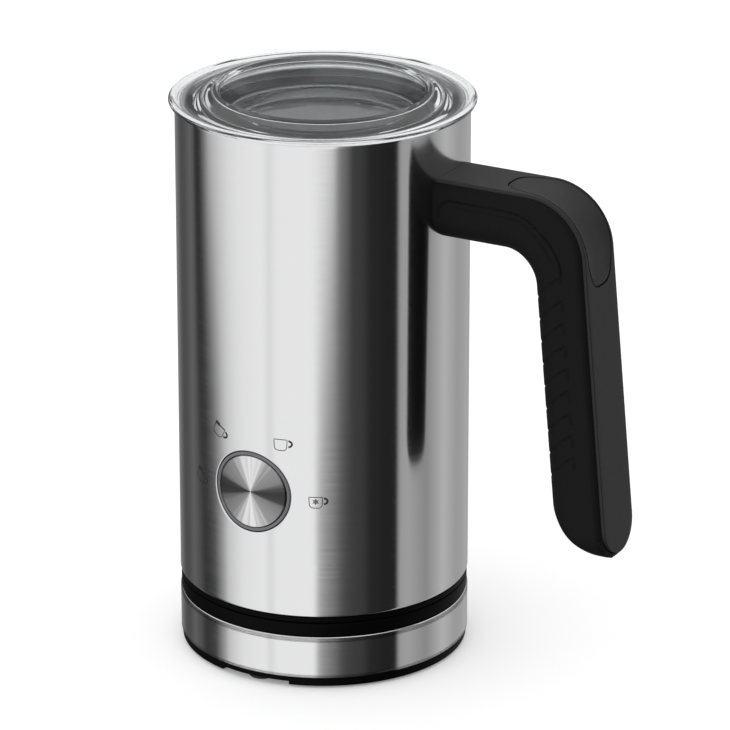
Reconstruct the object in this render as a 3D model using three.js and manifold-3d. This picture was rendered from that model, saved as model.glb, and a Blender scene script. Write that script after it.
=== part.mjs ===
// Cordless milk frother: a steel jug with a side handle, a clear lid, a magnetic whisk and a powered base.
// Millimetres, +Z up. The origin is on the jug's axis, in the plane the feet stand on.
// The button faces -Y and the handle points to +X.
import * as THREE from 'three';
import { mergeVertices } from 'three/addons/utils/BufferGeometryUtils.js';
import Module from 'manifold-3d';

const wasm = await Module();
wasm.setup();

// ---------- driving dimensions ----------
const jugRadius = 50; // shell, base band and collar
const shellHeight = 168;
const shellWall = 0.8;
const gap = 0.3; // clearance between neighbouring pieces
const seam = 0.35; // shadow line between two visible covers
const overcut = 2; // how far a cutter runs past what it cuts

// base
const footProud = 0.8;
const footRadius = 5;
const footHeight = 2.9;
const footCount = 4;
const footInset = 7; // foot centre in from the jug's radius
const skirtHeight = 3.6;
const skirtWall = 3;
const skirtStep = 0.5; // skirt set in from the band
const notchAngle = 31; // degrees of the skirt left out in front
const bottomPlateRise = 1.4; // plate's underside above the skirt's edge
const bottomPlate = 2;
const underBossRadius = 20;
const bandHeight = 14.85;
const bandWall = 0.6;
const bandLip = 2.2;
const baseRimHeight = 4.85;
const baseRimInset = 0.3;
const baseTopPlate = 3;
const baseRecess = 1;
const baseRimWidth = 6;
const baseWallThickness = 2;
const screwCount = 3;
const baseScrewInset = 19;
const screwShank = 1.6;
const screwHead = 3;
const screwHeadHeight = 1.9;
const screwBoss = 4.2;
const screwRecess = 2.4; // head's seat below the post's top
const postRise = 3.5; // screw posts above the bottom plate
const baseScrewLength = 10;
const glandRadius = 3.9;
const glandFlange = 5.4;
const glandReach = 5.5;
const glandRise = 7.2; // gland's axis above the band's lower edge
const glandDepth = 8; // sleeve behind the band's face
const cordBore = 2.3;
const cordSeat = 4; // blind bore's depth behind the band's face

// connector between the base and the jug
const connectorRadius = 11;
const connectorHeight = 4; // plug's top above the base's rim
const connectorWall = 2.6;
const connectorFlange = 2.2;
const connectorRoof = 3;
const contactDepth = 4; // contacts' depth below the base's rim
const pinRadius = 1.5;
const contactWall = 0.5;
const ringContactRadius = 6.9; // between the base's and the jug's ring contacts

// jug
const collarHeight = 2.35;
const collarInset = 0.3;
const coverFloor = 3;
const coverSpigot = 9;
const coverWall = 1.8;
const shellLip = 2.8;
const driveSpace = 70.4; // pot's floor above the jug's underside
const potSpace = 5.5; // pot's inside in from the shell's outside
const potTaper = 2;
const potWall = 1.2;
const potCorner = 8;
const potRim = 1;
const rimRingHeight = 6;
const jugScrewLength = 8; // shank above the bottom cover

// drive and heat
const rotorRadius = 16;
const rotorHeight = 5;
const rotorGap = 1;
const magnetRadius = 3;
const magnetHeight = 2.6;
const driveMagnetCount = 4;
const magnetRing = 10;
const shaftRadius = 1.5;
const shaftDrop = 6; // bracket's top below the rotor
const motorRadius = 14;
const motorHeight = 26;
const bracketPlate = 2;
const bracketLeg = 3.2;
const bracketLegRing = 22;
const heaterTube = 3.2;
const heaterSpace = 10.8; // between the rotor and the heater, where the thermostat sits
const thermostatHeight = 7;
const ntcRadius = 2;

// electronics
const boardThickness = 1.6;
const powerBoardLength = 36;
const powerBoardDepth = 16;
const boardStandoff = 5;
const relaySize = [13, 9, 14];
const capacitorRadius = 4.5;
const capacitorHeight = 16;
const controlBoardWidth = 30;
const controlBoardHeight = 28;
const switchSize = 6;
const switchHeight = 3.2;
const ribbonWidth = 7;
const ribbonThickness = 0.8;

// button
const buttonRise = 43.4; // button's axis above the shell's lower edge
const buttonRadius = 12.8;
const buttonThickness = 3.2;
const lightRingWidth = 1.1;
const lightRingDepth = 10;
const stemRadius = 3;
const buttonTravel = 1;
const housingWall = 1.2;

// whisk
const whiskRadius = 17;
const coilTube = 2.6;
const whiskLift = 0.6; // carrier above the pot's floor
const whiskHeight = 7;
const spindleRadius = 1.5;
const spindleHeight = 5;
const runningGap = 0.3;

// lid
const lidRise = 4.7; // crest above the shell's top
const lidOverhang = 2.2;
const lidWall = 1.9;
const lidLedge = 12.5; // well's edge in from the pot's
const lidWellDraft = 4;
const lidWellDepth = 8.9;
const lidSkirt = 9.5;
const sealHeight = 4;
const sealDepth = 1.5;

// handle
const handleReach = 53.3; // from the shell to where the arm's top and the grip's back would meet
const handleDrop = 16.8; // arm's top below the shell's top
const handleLength = 126.4; // arm's top to the grip's tip
const handleThickness = 22.5;
const handleHalfWidth = 12;
const coverHalfWidth = 10.5;
const coverThickness = 2.4;
const bellyDepth = 10;
const lipDrop = 1.2; // the grip's lip beside the cover, below the cover's face
const lipTip = 2.2; // the lip below the cover's lower end
const gripLean = THREE.MathUtils.degToRad(5.4);
const outerBend = 22;
const innerBend = 11;
const tipRise = 20;
const tipRound = 11;
const thumbHalfLength = 22.5;
const thumbHalfWidth = 9;
const thumbThickness = 1.2;
const thumbSquareness = 3.4; // 2 is an ellipse, more has fuller ends
const coreHalfWidth = 6;
const coreThickness = 6;
const coreEnd = 40; // the core stops this far above the grip's tip
const coreRootLength = 10;
const coreRootDepth = 15;
const bracketThickness = 1.5;
const bracketHalfWidth = 9;
const handleScrewHead = 2.6;
const handleScrewHeadHeight = 1.2;
const handleScrewLength = 9;
const handleScrewSpacing = 8;

// ---------- levels and radii that follow ----------
const skirtBottom = footProud;
const bandBottom = skirtBottom + skirtHeight;
const bandTop = bandBottom + bandHeight;
const baseTop = bandTop + baseRimHeight;
const jugBottom = baseTop + gap;
const shellBottom = jugBottom + collarHeight;
const shellTop = shellBottom + shellHeight;
const shellInner = jugRadius - shellWall;
const potTopRadius = jugRadius - potSpace;
const potBottomRadius = potTopRadius - potTaper;
const lidWellRadius = potTopRadius - lidLedge;
const lidCrestRadius = lidWellRadius + lidWellDraft;
const baseScrewRing = jugRadius - baseScrewInset;
const coverTop = jugBottom + coverFloor;
const potRimTop = shellTop - shellWall - gap;
const potFloor = jugBottom + driveSpace;
const potUnder = potFloor - potWall;
const rotorTop = potUnder - rotorGap;
const rotorBottom = rotorTop - rotorHeight;
const bracketTop = rotorBottom - shaftDrop;
const bracketBottom = bracketTop - bracketPlate;
const motorTop = bracketBottom - gap;
const buttonLevel = shellBottom + buttonRise;
const armTop = shellTop - handleDrop;
const tipLevel = armTop - handleLength;
const platesBottom = skirtBottom + bottomPlateRise;
const platesTop = platesBottom + bottomPlate;
const postTop = platesTop + postRise;
const screwHole = screwShank + gap;
const headHole = screwHead + gap;
const FRONT = -Math.PI / 2;

// segments round a full turn
const FINE = 40;
const MEDIUM = 24;
const COARSE = 12;
const SMALL = 8;

// ---------- looks ----------
const finishes = {
  brushedSteel: { color: 0xb9babc, roughness: 0.32, metalness: 1 },
  steel: { color: 0xa8a9ab, roughness: 0.35, metalness: 1 },
  coatedPot: { color: 0x6f6f70, roughness: 0.55, metalness: 0.2 },
  blackPlastic: { color: 0x141414, roughness: 0.5, metalness: 0 },
  charcoalPlastic: { color: 0x333333, roughness: 0.55, metalness: 0 },
  softGrip: { color: 0x1b1b1b, roughness: 0.8, metalness: 0 },
  rubber: { color: 0x222222, roughness: 0.9, metalness: 0 },
  silicone: { color: 0xd9dbdc, roughness: 0.6, metalness: 0 },
  clear: { color: 0xe8ecee, roughness: 0.05, metalness: 0 },
  smoked: { color: 0x6a6a6a, roughness: 0.3, metalness: 0 },
  copper: { color: 0xb87333, roughness: 0.35, metalness: 1 },
  magnet: { color: 0x8d8f92, roughness: 0.3, metalness: 1 },
  board: { color: 0x1f5a38, roughness: 0.6, metalness: 0 },
  nylon: { color: 0xd8d6cc, roughness: 0.6, metalness: 0 },
};

const object = new THREE.Group();

// ---------- helpers ----------
function addPart(name, geometry, finish) {
  const mesh = new THREE.Mesh(geometry, new THREE.MeshStandardMaterial(finishes[finish]));
  mesh.name = name;
  object.add(mesh);
}

// A closed geometry as a solid: position only, shared vertices, no zero-area triangles.
function solidOf(geometry) {
  const bare = new THREE.BufferGeometry();
  const loose = geometry.index ? geometry.toNonIndexed() : geometry;
  bare.setAttribute('position', loose.getAttribute('position'));
  const merged = mergeVertices(bare, 1e-4);
  const index = merged.getIndex().array;
  const triangles = [];
  for (let i = 0; i < index.length; i += 3) {
    const [a, b, c] = [index[i], index[i + 1], index[i + 2]];
    if (a !== b && b !== c && c !== a) triangles.push(a, b, c);
  }
  const vertProperties = new Float32Array(merged.getAttribute('position').array);
  const triVerts = new Uint32Array(triangles);
  return new wasm.Manifold(new wasm.Mesh({ numProp: 3, vertProperties, triVerts }));
}

function geometryOf(solid) {
  const mesh = solid.getMesh();
  const geometry = new THREE.BufferGeometry();
  geometry.setAttribute('position', new THREE.BufferAttribute(new Float32Array(mesh.vertProperties), 3));
  geometry.setIndex(new THREE.BufferAttribute(new Uint32Array(mesh.triVerts), 1));
  return geometry;
}

function join(...geometries) {
  return geometryOf(geometries.map(solidOf).reduce((whole, next) => whole.add(next)));
}

function cut(geometry, ...cutters) {
  return geometryOf(cutters.map(solidOf).reduce((whole, next) => whole.subtract(next), solidOf(geometry)));
}

function common(...geometries) {
  return geometryOf(geometries.map(solidOf).reduce((whole, next) => whole.intersect(next)));
}

// A solid of revolution about Z from [radius, z] points, in either order.
function turned(points, segments) {
  const area = points.reduce((sum, [r, z], i) => {
    const [nextR, nextZ] = points[(i + 1) % points.length];
    return sum + r * nextZ - nextR * z;
  }, 0);
  const ordered = area > 0 ? [...points] : [...points].reverse();
  const onAxis = ordered.some(([r]) => r === 0);
  if (onAxis) {
    while (ordered[0][0] !== 0 || ordered[ordered.length - 1][0] !== 0) ordered.push(ordered.shift());
  } else {
    ordered.push(ordered[0]);
  }
  const profile = ordered.map(([r, z]) => new THREE.Vector2(r, z));
  return new THREE.LatheGeometry(profile, segments).rotateX(Math.PI / 2);
}

function tube(inner, outer, bottom, top, segments) {
  return turned([[inner, bottom], [outer, bottom], [outer, top], [inner, top]], segments);
}

function disc(radius, bottom, top, segments = SMALL) {
  return new THREE.CylinderGeometry(radius, radius, top - bottom, segments)
    .rotateX(Math.PI / 2)
    .translate(0, 0, (bottom + top) / 2);
}

// A disc whose axis is moved to polar place (ring, angle) about Z.
function discAt(ring, angle, radius, bottom, top, segments = SMALL) {
  return disc(radius, bottom, top, segments)
    .translate(ring * Math.cos(angle), ring * Math.sin(angle), 0);
}

function box(x0, x1, y0, y1, z0, z1) {
  return new THREE.BoxGeometry(x1 - x0, y1 - y0, z1 - z0)
    .translate((x0 + x1) / 2, (y0 + y1) / 2, (z0 + z1) / 2);
}

// A slice between two angles, out to a radius, from a point on its middle line.
function wedge(apex, radius, from, to, bottom, top) {
  const middle = (from + to) / 2;
  const shape = new THREE.Shape();
  shape.moveTo(apex * Math.cos(middle), apex * Math.sin(middle));
  shape.lineTo(radius * Math.cos(from), radius * Math.sin(from));
  shape.absarc(0, 0, radius, from, to, false);
  return new THREE.ExtrudeGeometry(shape, { depth: top - bottom, bevelEnabled: false, curveSegments: 8 })
    .translate(0, 0, bottom);
}

// Something built about Z, laid so that its +Z points to -Y at the height of the button.
function towardsFront(geometry) {
  return geometry.rotateX(Math.PI / 2).translate(0, 0, buttonLevel);
}

function evenAngles(count, start) {
  return Array.from({ length: count }, (_, i) => start + (i * 2 * Math.PI) / count);
}

// ---------- base ----------
function buildFeet() {
  evenAngles(footCount, FRONT).forEach((angle, i) => {
    const foot = discAt(jugRadius - footInset, angle, footRadius, 0, footHeight, COARSE);
    addPart(`base_foot_${i + 1}`, foot, 'rubber');
  });
}

function buildBaseBottom() {
  const outer = jugRadius - skirtStep;
  const inner = outer - skirtWall;
  const body = turned([
    [0, skirtBottom], [underBossRadius, skirtBottom], [underBossRadius, platesBottom], [inner, platesBottom],
    [inner, skirtBottom], [outer, skirtBottom], [outer, bandBottom - gap], [inner, bandBottom - gap],
    [inner, platesTop], [0, platesTop],
  ], FINE);
  const halfNotch = THREE.MathUtils.degToRad(notchAngle) / 2;
  const notch = wedge(underBossRadius + 4, jugRadius + overcut, FRONT - halfNotch, FRONT + halfNotch,
    skirtBottom - 1, platesBottom);
  const angles = evenAngles(screwCount, FRONT);
  const posts = angles.map((a) => discAt(baseScrewRing, a, screwBoss, platesTop - 1, postTop));
  const holes = angles.flatMap((a) => [
    discAt(baseScrewRing, a, screwHole, skirtBottom, postTop + overcut),
    discAt(baseScrewRing, a, headHole, skirtBottom, postTop - screwRecess),
  ]);
  const pocketRing = jugRadius - footInset;
  const pockets = evenAngles(footCount, FRONT)
    .map((a) => discAt(pocketRing, a, footRadius + gap, skirtBottom - 1, footHeight + gap, COARSE));
  addPart('base_bottom_cover', cut(join(body, ...posts), notch, ...holes, ...pockets), 'blackPlastic');
  angles.forEach((a, i) => {
    const headTop = postTop - screwRecess - gap;
    const screw = join(
      discAt(baseScrewRing, a, screwHead, headTop - screwHeadHeight, headTop),
      discAt(baseScrewRing, a, screwShank, headTop - 0.5, headTop + baseScrewLength));
    addPart(`base_screw_${i + 1}`, screw, 'steel');
  });
}

const glandLevel = bandBottom + glandRise;

function glandHole(radius) {
  const reach = glandDepth + overcut;
  return disc(radius, jugRadius - reach, jugRadius + reach, COARSE)
    .rotateX(-Math.PI / 2)
    .translate(0, 0, glandLevel);
}

function buildBand() {
  const inner = jugRadius - bandWall;
  const band = turned([
    [inner, bandBottom], [jugRadius, bandBottom], [jugRadius, bandTop - 0.8], [jugRadius - 0.8, bandTop],
    [jugRadius - bandLip, bandTop], [jugRadius - bandLip, bandTop - bandWall], [inner, bandTop - bandWall],
  ], FINE);
  addPart('base_band', cut(band, glandHole(glandRadius + gap)), 'brushedSteel');
}

function buildBaseTop() {
  const rim = jugRadius - baseRimInset;
  const wallOuter = jugRadius - bandWall - gap;
  const wallInner = wallOuter - baseWallThickness;
  const lipInner = jugRadius - bandLip - gap;
  const wallBottom = bandBottom + 0.6;
  const plateBottom = baseTop - baseRecess - baseTopPlate;
  const socket = connectorRadius + gap;
  const body = turned([
    [socket, plateBottom], [wallInner, plateBottom], [wallInner, wallBottom], [wallOuter, wallBottom],
    [wallOuter, bandTop - bandWall - gap], [lipInner, bandTop - bandWall - gap],
    [lipInner, bandTop + gap], [rim, bandTop + gap], [rim, baseTop - 0.5], [rim - 0.5, baseTop],
    [rim - baseRimWidth, baseTop], [rim - baseRimWidth - baseRecess, baseTop - baseRecess],
    [socket, baseTop - baseRecess],
  ], FINE);
  const angles = evenAngles(screwCount, FRONT);
  const bosses = angles.map((a) => discAt(baseScrewRing, a, screwBoss, postTop + gap, plateBottom + 1));
  const pilots = angles.map((a) => discAt(baseScrewRing, a, screwHole, postTop, postTop + baseScrewLength));
  const cutters = [...pilots, glandHole(glandRadius + gap)];
  addPart('base_top_cover', cut(join(body, ...bosses), ...cutters), 'blackPlastic');
}

// The bush that the mains cord leaves through: a flanged, tapered sleeve with a blind cord seat.
function buildGland() {
  const face = jugRadius + gap;
  const inside = jugRadius - glandDepth;
  const profile = [
    [0, inside], [glandRadius, inside], [glandRadius, face], [glandFlange, face],
    [glandFlange, face + 1.5], [glandRadius, face + 1.5], [glandRadius - 0.7, face + glandReach],
    [cordBore, face + glandReach], [cordBore, face - cordSeat], [0, face - cordSeat],
  ];
  const gland = turned(profile, COARSE).rotateX(-Math.PI / 2).translate(0, 0, glandLevel);
  addPart('cord_gland', gland, 'rubber');
}

// ---------- 360 degree connector ----------
const plugTop = baseTop + connectorHeight;
const grooveFloor = baseTop - contactDepth;
const ringInner = ringContactRadius - gap / 2 - contactWall;
const ringOuter = ringContactRadius + gap / 2 + contactWall;
const sleeveInner = pinRadius + gap;
const sleeveOuter = sleeveInner + contactWall;

function buildBaseConnector() {
  const plateBottom = baseTop - baseRecess - baseTopPlate;
  const seat = plateBottom - connectorFlange;
  const flange = connectorRadius + connectorFlange;
  const profile = [
    [0, seat], [flange, seat], [flange, plateBottom - gap], [connectorRadius, plateBottom - gap],
    [connectorRadius, plugTop - 1], [connectorRadius - 1, plugTop], [ringOuter + gap, plugTop],
    [ringOuter + gap, grooveFloor], [ringInner - gap, grooveFloor], [ringInner - gap, plugTop],
    [sleeveOuter + gap, plugTop], [sleeveOuter + gap, grooveFloor], [0, grooveFloor],
  ];
  addPart('base_connector', turned(profile, MEDIUM), 'blackPlastic');
  const ring = tube(ringInner, ringInner + contactWall, grooveFloor + gap, plugTop - 1, MEDIUM);
  addPart('base_contact_ring', ring, 'copper');
  const sleeve = tube(sleeveInner, sleeveOuter, grooveFloor + gap, plugTop - 1, COARSE);
  addPart('base_contact_sleeve', sleeve, 'copper');
}

const jugPlugOuter = connectorRadius + gap + connectorWall;
const jugPlugRoof = plugTop + gap;
const jugPlugTop = jugPlugRoof + connectorRoof;

function buildJugConnector() {
  const inner = connectorRadius + gap;
  const profile = [
    [0, jugPlugRoof], [inner, jugPlugRoof], [inner, jugBottom], [jugPlugOuter, jugBottom],
    [jugPlugOuter, coverTop + gap], [jugPlugOuter + connectorFlange, coverTop + gap],
    [jugPlugOuter + connectorFlange, jugPlugTop], [0, jugPlugTop],
  ];
  const grooves = [
    disc(pinRadius + gap, jugPlugRoof - 1, jugPlugTop - 1, SMALL),
    tube(ringOuter - contactWall - gap, ringOuter + gap, jugPlugRoof - 1, jugPlugTop - 1, MEDIUM),
  ];
  addPart('jug_connector', cut(turned(profile, MEDIUM), ...grooves), 'blackPlastic');
  addPart('jug_contact_pin', disc(pinRadius, grooveFloor + gap, jugPlugTop - 1 - gap, SMALL), 'copper');
  const ring = tube(ringOuter - contactWall, ringOuter, grooveFloor + gap, jugPlugTop - 1 - gap, MEDIUM);
  addPart('jug_contact_ring', ring, 'copper');
}

// ---------- jug housing ----------
const legAngles = evenAngles(screwCount, FRONT);
const screwHeadTop = jugBottom + 2;

function buildJugCover() {
  const collar = jugRadius - collarInset;
  const spigot = shellInner - gap;
  const body = turned([
    [jugPlugOuter + gap, jugBottom], [collar - 0.4, jugBottom], [collar, jugBottom + 0.4],
    [collar, shellBottom - seam], [spigot, shellBottom - seam], [spigot, shellBottom + coverSpigot],
    [spigot - coverWall, shellBottom + coverSpigot], [spigot - coverWall, coverTop],
    [jugPlugOuter + gap, coverTop],
  ], FINE);
  const screwCuts = legAngles.flatMap((a) => [
    discAt(bracketLegRing, a, screwHole, jugBottom - 1, coverTop + 1),
    discAt(bracketLegRing, a, headHole, jugBottom - 1, screwHeadTop),
  ]);
  const standoffs = [-1, 1].map((side) => disc(2.5, coverTop - 1, coverTop + boardStandoff - gap)
    .translate(side * (powerBoardLength / 2 - 5), powerBoardPlace() + powerBoardDepth / 2, 0));
  addPart('jug_base_cover', cut(join(body, ...standoffs), ...screwCuts), 'blackPlastic');
  legAngles.forEach((a, i) => {
    const top = screwHeadTop - gap;
    const screw = join(
      discAt(bracketLegRing, a, screwHead, top - 1.4, top),
      discAt(bracketLegRing, a, screwShank, top - 0.5, coverTop + jugScrewLength));
    addPart(`jug_base_screw_${i + 1}`, screw, 'steel');
  });
}

const buttonHole = buttonRadius + gap + lightRingWidth + gap;

function buildShell() {
  const lip = jugRadius - shellLip;
  const shell = turned([
    [shellInner, shellBottom], [jugRadius, shellBottom], [jugRadius, shellTop - 0.6],
    [jugRadius - 0.6, shellTop], [lip, shellTop], [lip, shellTop - shellWall],
    [shellInner, shellTop - shellWall],
  ], FINE);
  const buttonCut = towardsFront(disc(buttonHole, shellInner - 12, jugRadius + overcut, MEDIUM));
  const screwCuts = handleScrewLevels().map((z) => disc(screwHole, shellInner - 6, jugRadius + overcut, SMALL)
    .rotateY(Math.PI / 2).translate(0, 0, z));
  addPart('outer_shell', cut(shell, buttonCut, ...screwCuts), 'brushedSteel');
}

function buildPot() {
  const corner = [1, 2, 3].map((i) => (i * Math.PI) / 8);
  const arc = (radius, level, round) => corner.map((a) => [
    radius - round + round * Math.sin(a), level + round - round * Math.cos(a)]);
  const outerCorner = potCorner + potWall;
  const profile = [
    [0, potUnder], [potBottomRadius + potWall - outerCorner, potUnder],
    ...arc(potBottomRadius + potWall, potUnder, outerCorner),
    [potBottomRadius + potWall, potUnder + outerCorner], [potTopRadius + potWall, potRimTop - potRim - 1],
    [potTopRadius + potWall, potRimTop - potRim], [shellInner - gap, potRimTop - potRim],
    [shellInner - gap, potRimTop], [potTopRadius, potRimTop], [potTopRadius, potRimTop - lidSkirt - 4],
    [potBottomRadius, potFloor + potCorner],
    ...arc(potBottomRadius, potFloor, potCorner).reverse(),
    [potBottomRadius - potCorner, potFloor], [0, potFloor],
  ];
  addPart('inner_pot', turned(profile, FINE), 'coatedPot');
  const ring = tube(potTopRadius + potWall + gap, shellInner - gap, potRimTop - potRim - gap - rimRingHeight,
    potRimTop - potRim - gap, FINE);
  addPart('rim_ring', ring, 'nylon');
  const seat = potFloor + gap;
  const spindle = turned([
    [0, seat], [spindleRadius + 2, seat], [spindleRadius, seat + whiskLift],
    [spindleRadius, seat + spindleHeight - 0.5],
    [spindleRadius - 0.5, seat + spindleHeight], [0, seat + spindleHeight],
  ], SMALL);
  addPart('spindle', spindle, 'steel');
}

// ---------- drive and heat ----------
const heaterRing = rotorRadius + heaterSpace + heaterTube;
const sensorRing = rotorRadius + heaterSpace / 2;

function buildMotor() {
  const bracketRadius = bracketLegRing + bracketLeg;
  const plate = tube(shaftRadius + 2, bracketRadius, bracketBottom, bracketTop, MEDIUM);
  const legs = legAngles.map((a) => discAt(bracketLegRing, a, bracketLeg, coverTop + gap, bracketBottom + 1));
  const pilotTop = coverTop + jugScrewLength + gap;
  const pilots = legAngles.map((a) => discAt(bracketLegRing, a, screwHole, coverTop, pilotTop));
  addPart('motor_bracket', cut(join(plate, ...legs), ...pilots), 'nylon');
  const motorBottom = motorTop - motorHeight;
  const motor = turned([
    [0, motorBottom], [motorRadius - 1, motorBottom], [motorRadius, motorBottom + 1], [motorRadius, motorTop],
    [shaftRadius + gap, motorTop], [shaftRadius + gap, motorTop - 5], [0, motorTop - 5],
  ], MEDIUM);
  addPart('motor', motor, 'steel');
  addPart('motor_shaft', disc(shaftRadius, motorTop - 4.5, rotorBottom + 2.5, SMALL), 'steel');
}

function buildRotor() {
  const angles = evenAngles(driveMagnetCount, 0);
  const pocketBottom = rotorTop - magnetHeight - gap;
  const pockets = angles.map((a) => discAt(magnetRing, a, magnetRadius + gap, pocketBottom, rotorTop + 1));
  const shaftSeat = disc(shaftRadius + gap, rotorBottom - 1, rotorBottom + 2.5 + gap, SMALL);
  const carrier = disc(rotorRadius, rotorBottom, rotorTop, MEDIUM);
  addPart('magnet_carrier', cut(carrier, shaftSeat, ...pockets), 'nylon');
  angles.forEach((a, i) => {
    const magnet = discAt(magnetRing, a, magnetRadius, rotorTop - magnetHeight, rotorTop);
    addPart(`drive_magnet_${i + 1}`, magnet, 'magnet');
  });
}

// The heater's ring lies against the pot: under its flat floor, or higher where it meets the round corner.
function buildHeater() {
  const corner = potCorner + potWall;
  const past = Math.max(0, heaterRing - (potBottomRadius + potWall - corner));
  const reach = corner + gap + heaterTube;
  const level = potUnder + corner - Math.sqrt(reach * reach - past * past);
  const ring = new THREE.TorusGeometry(heaterRing, heaterTube, 10, MEDIUM).translate(0, 0, level);
  addPart('heater_ring', ring, 'steel');
  const thermostatRadius = heaterSpace / 2 - 2 * gap;
  const top = potUnder - gap;
  addPart('thermostat', discAt(sensorRing, Math.PI, thermostatRadius, top - thermostatHeight, top), 'nylon');
  addPart('ntc_sensor', discAt(sensorRing, 0, ntcRadius, top - thermostatHeight, top), 'steel');
}

// ---------- electronics ----------
// Inner edge of the power board: outside the motor and behind the bracket's legs.
function powerBoardPlace() {
  return Math.max(motorRadius, bracketLegRing / 2 + bracketLeg) + 3;
}

function buildPowerBoard() {
  const near = powerBoardPlace();
  const level = coverTop + boardStandoff;
  const half = powerBoardLength / 2;
  const top = level + boardThickness;
  addPart('power_board', box(-half, half, near, near + powerBoardDepth, level, top), 'board');
  const [length, depth, height] = relaySize;
  const relayX = -half + 2;
  const relay = box(relayX, relayX + length, near + 3, near + 3 + depth, top + gap, top + gap + height);
  addPart('relay', relay, 'blackPlastic');
  const capacitor = disc(capacitorRadius, top + gap, top + gap + capacitorHeight, COARSE)
    .translate(half - capacitorRadius - 7, near + 8, 0);
  addPart('capacitor', capacitor, 'nylon');
}

const housingFront = jugRadius - 3.5;
const housingBack = jugRadius - 12;
const controlBoardFront = housingBack - 0.4;

function buildControlBoard() {
  const half = controlBoardWidth / 2;
  const back = controlBoardFront - boardThickness;
  const z0 = buttonLevel - controlBoardHeight / 2;
  addPart('control_board', box(-half, half, -controlBoardFront, -back, z0, z0 + controlBoardHeight), 'board');
  const rear = -controlBoardFront - gap;
  const side = switchSize / 2;
  const body = box(-side, side, rear - switchHeight, rear, buttonLevel - side, buttonLevel + side);
  const plunger = towardsFront(disc(1.6, controlBoardFront + switchHeight - 0.5, switchTip));
  addPart('tact_switch', join(body, plunger), 'blackPlastic');
  const route = bracketLegRing + bracketLeg + ribbonWidth / 2 + 2;
  const onRoute = (degrees, z) => {
    const a = THREE.MathUtils.degToRad(degrees);
    return new THREE.Vector3(route * Math.cos(a), route * Math.sin(a), z);
  };
  const boardTop = coverTop + boardStandoff + boardThickness;
  const curve = new THREE.CatmullRomCurve3([
    new THREE.Vector3(half - 5, -back + 3 * gap, z0 + 6),
    new THREE.Vector3(half - 5, -back + ribbonWidth / 2, z0 + 6),
    onRoute(-45, z0),
    onRoute(-5, boardTop + 16),
    onRoute(30, boardTop + 8),
    new THREE.Vector3(powerBoardLength / 2 - 3, powerBoardPlace() + 4, boardTop + ribbonWidth / 2 + 2 * gap),
  ]);
  const section = new THREE.Shape();
  section.moveTo(-ribbonThickness / 2, -ribbonWidth / 2);
  section.lineTo(ribbonThickness / 2, -ribbonWidth / 2);
  section.lineTo(ribbonThickness / 2, ribbonWidth / 2);
  section.lineTo(-ribbonThickness / 2, ribbonWidth / 2);
  const ribbon = new THREE.ExtrudeGeometry(section, { steps: 16, extrudePath: curve, bevelEnabled: false });
  addPart('control_ribbon', ribbon, 'rubber');
}

// ---------- button ----------
const capBack = jugRadius - buttonThickness;
const switchTip = controlBoardFront + switchHeight + 1.2;

function buildButton() {
  const face = disc(jugRadius, buttonLevel - 20, buttonLevel + 20, FINE);
  const cap = common(towardsFront(disc(buttonRadius, capBack, jugRadius + 1, MEDIUM)), face);
  const stem = towardsFront(disc(stemRadius, switchTip + buttonTravel + gap, capBack + 1, SMALL));
  addPart('button_cap', join(cap, stem), 'brushedSteel');
  const ringInnerRadius = buttonRadius + gap;
  const ringOuterRadius = ringInnerRadius + lightRingWidth;
  const ring = tube(ringInnerRadius, ringOuterRadius, jugRadius - lightRingDepth, jugRadius + 1, MEDIUM);
  addPart('light_ring', common(towardsFront(ring), face), 'smoked');
  const inside = disc(shellInner - gap, buttonLevel - 25, buttonLevel + 25, FINE);
  const sleeve = tube(buttonHole, buttonHole + housingWall, housingBack, jugRadius, MEDIUM);
  const plate = tube(switchSize * 0.8, buttonHole + 0.5, housingBack, housingBack + 1.2, MEDIUM);
  addPart('button_housing', common(join(towardsFront(sleeve), towardsFront(plate)), inside), 'blackPlastic');
}

// ---------- whisk ----------
function buildWhisk() {
  const bottom = potFloor + whiskLift + gap;
  const coilLevel = bottom + 1 + gap + coilTube;
  const grooveRadius = coilTube + gap;
  const groove = [-3, -2, -1, 0, 1, 2, 3].map((i) => {
    const a = Math.PI + (i * Math.PI) / 8;
    return [whiskRadius + grooveRadius * Math.cos(a), coilLevel + grooveRadius * Math.sin(a)];
  });
  const top = bottom + whiskHeight;
  const bore = spindleRadius + runningGap;
  const profile = [
    [0, top], [5, top], [groove[0][0] - 1.5, groove[0][1]],
    ...groove, [whiskRadius - 0.6, bottom + 1], [whiskRadius - 0.6, bottom], [bore + 2, bottom],
    [bore, bottom + 0.8], [bore, bottom + spindleHeight], [0, bottom + spindleHeight],
  ];
  const pockets = evenAngles(2, 0)
    .map((a) => discAt(magnetRing, a, magnetRadius + gap, bottom - 1, bottom + magnetHeight + gap));
  addPart('whisk_carrier', cut(turned(profile, MEDIUM), ...pockets), 'blackPlastic');
  evenAngles(2, 0).forEach((a, i) => {
    const magnet = discAt(magnetRing, a, magnetRadius, bottom, bottom + magnetHeight);
    addPart(`whisk_magnet_${i + 1}`, magnet, 'magnet');
  });
  const coil = new THREE.TorusGeometry(whiskRadius, coilTube, 12, MEDIUM).translate(0, 0, coilLevel);
  addPart('whisk_coil', coil, 'steel');
}

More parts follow.
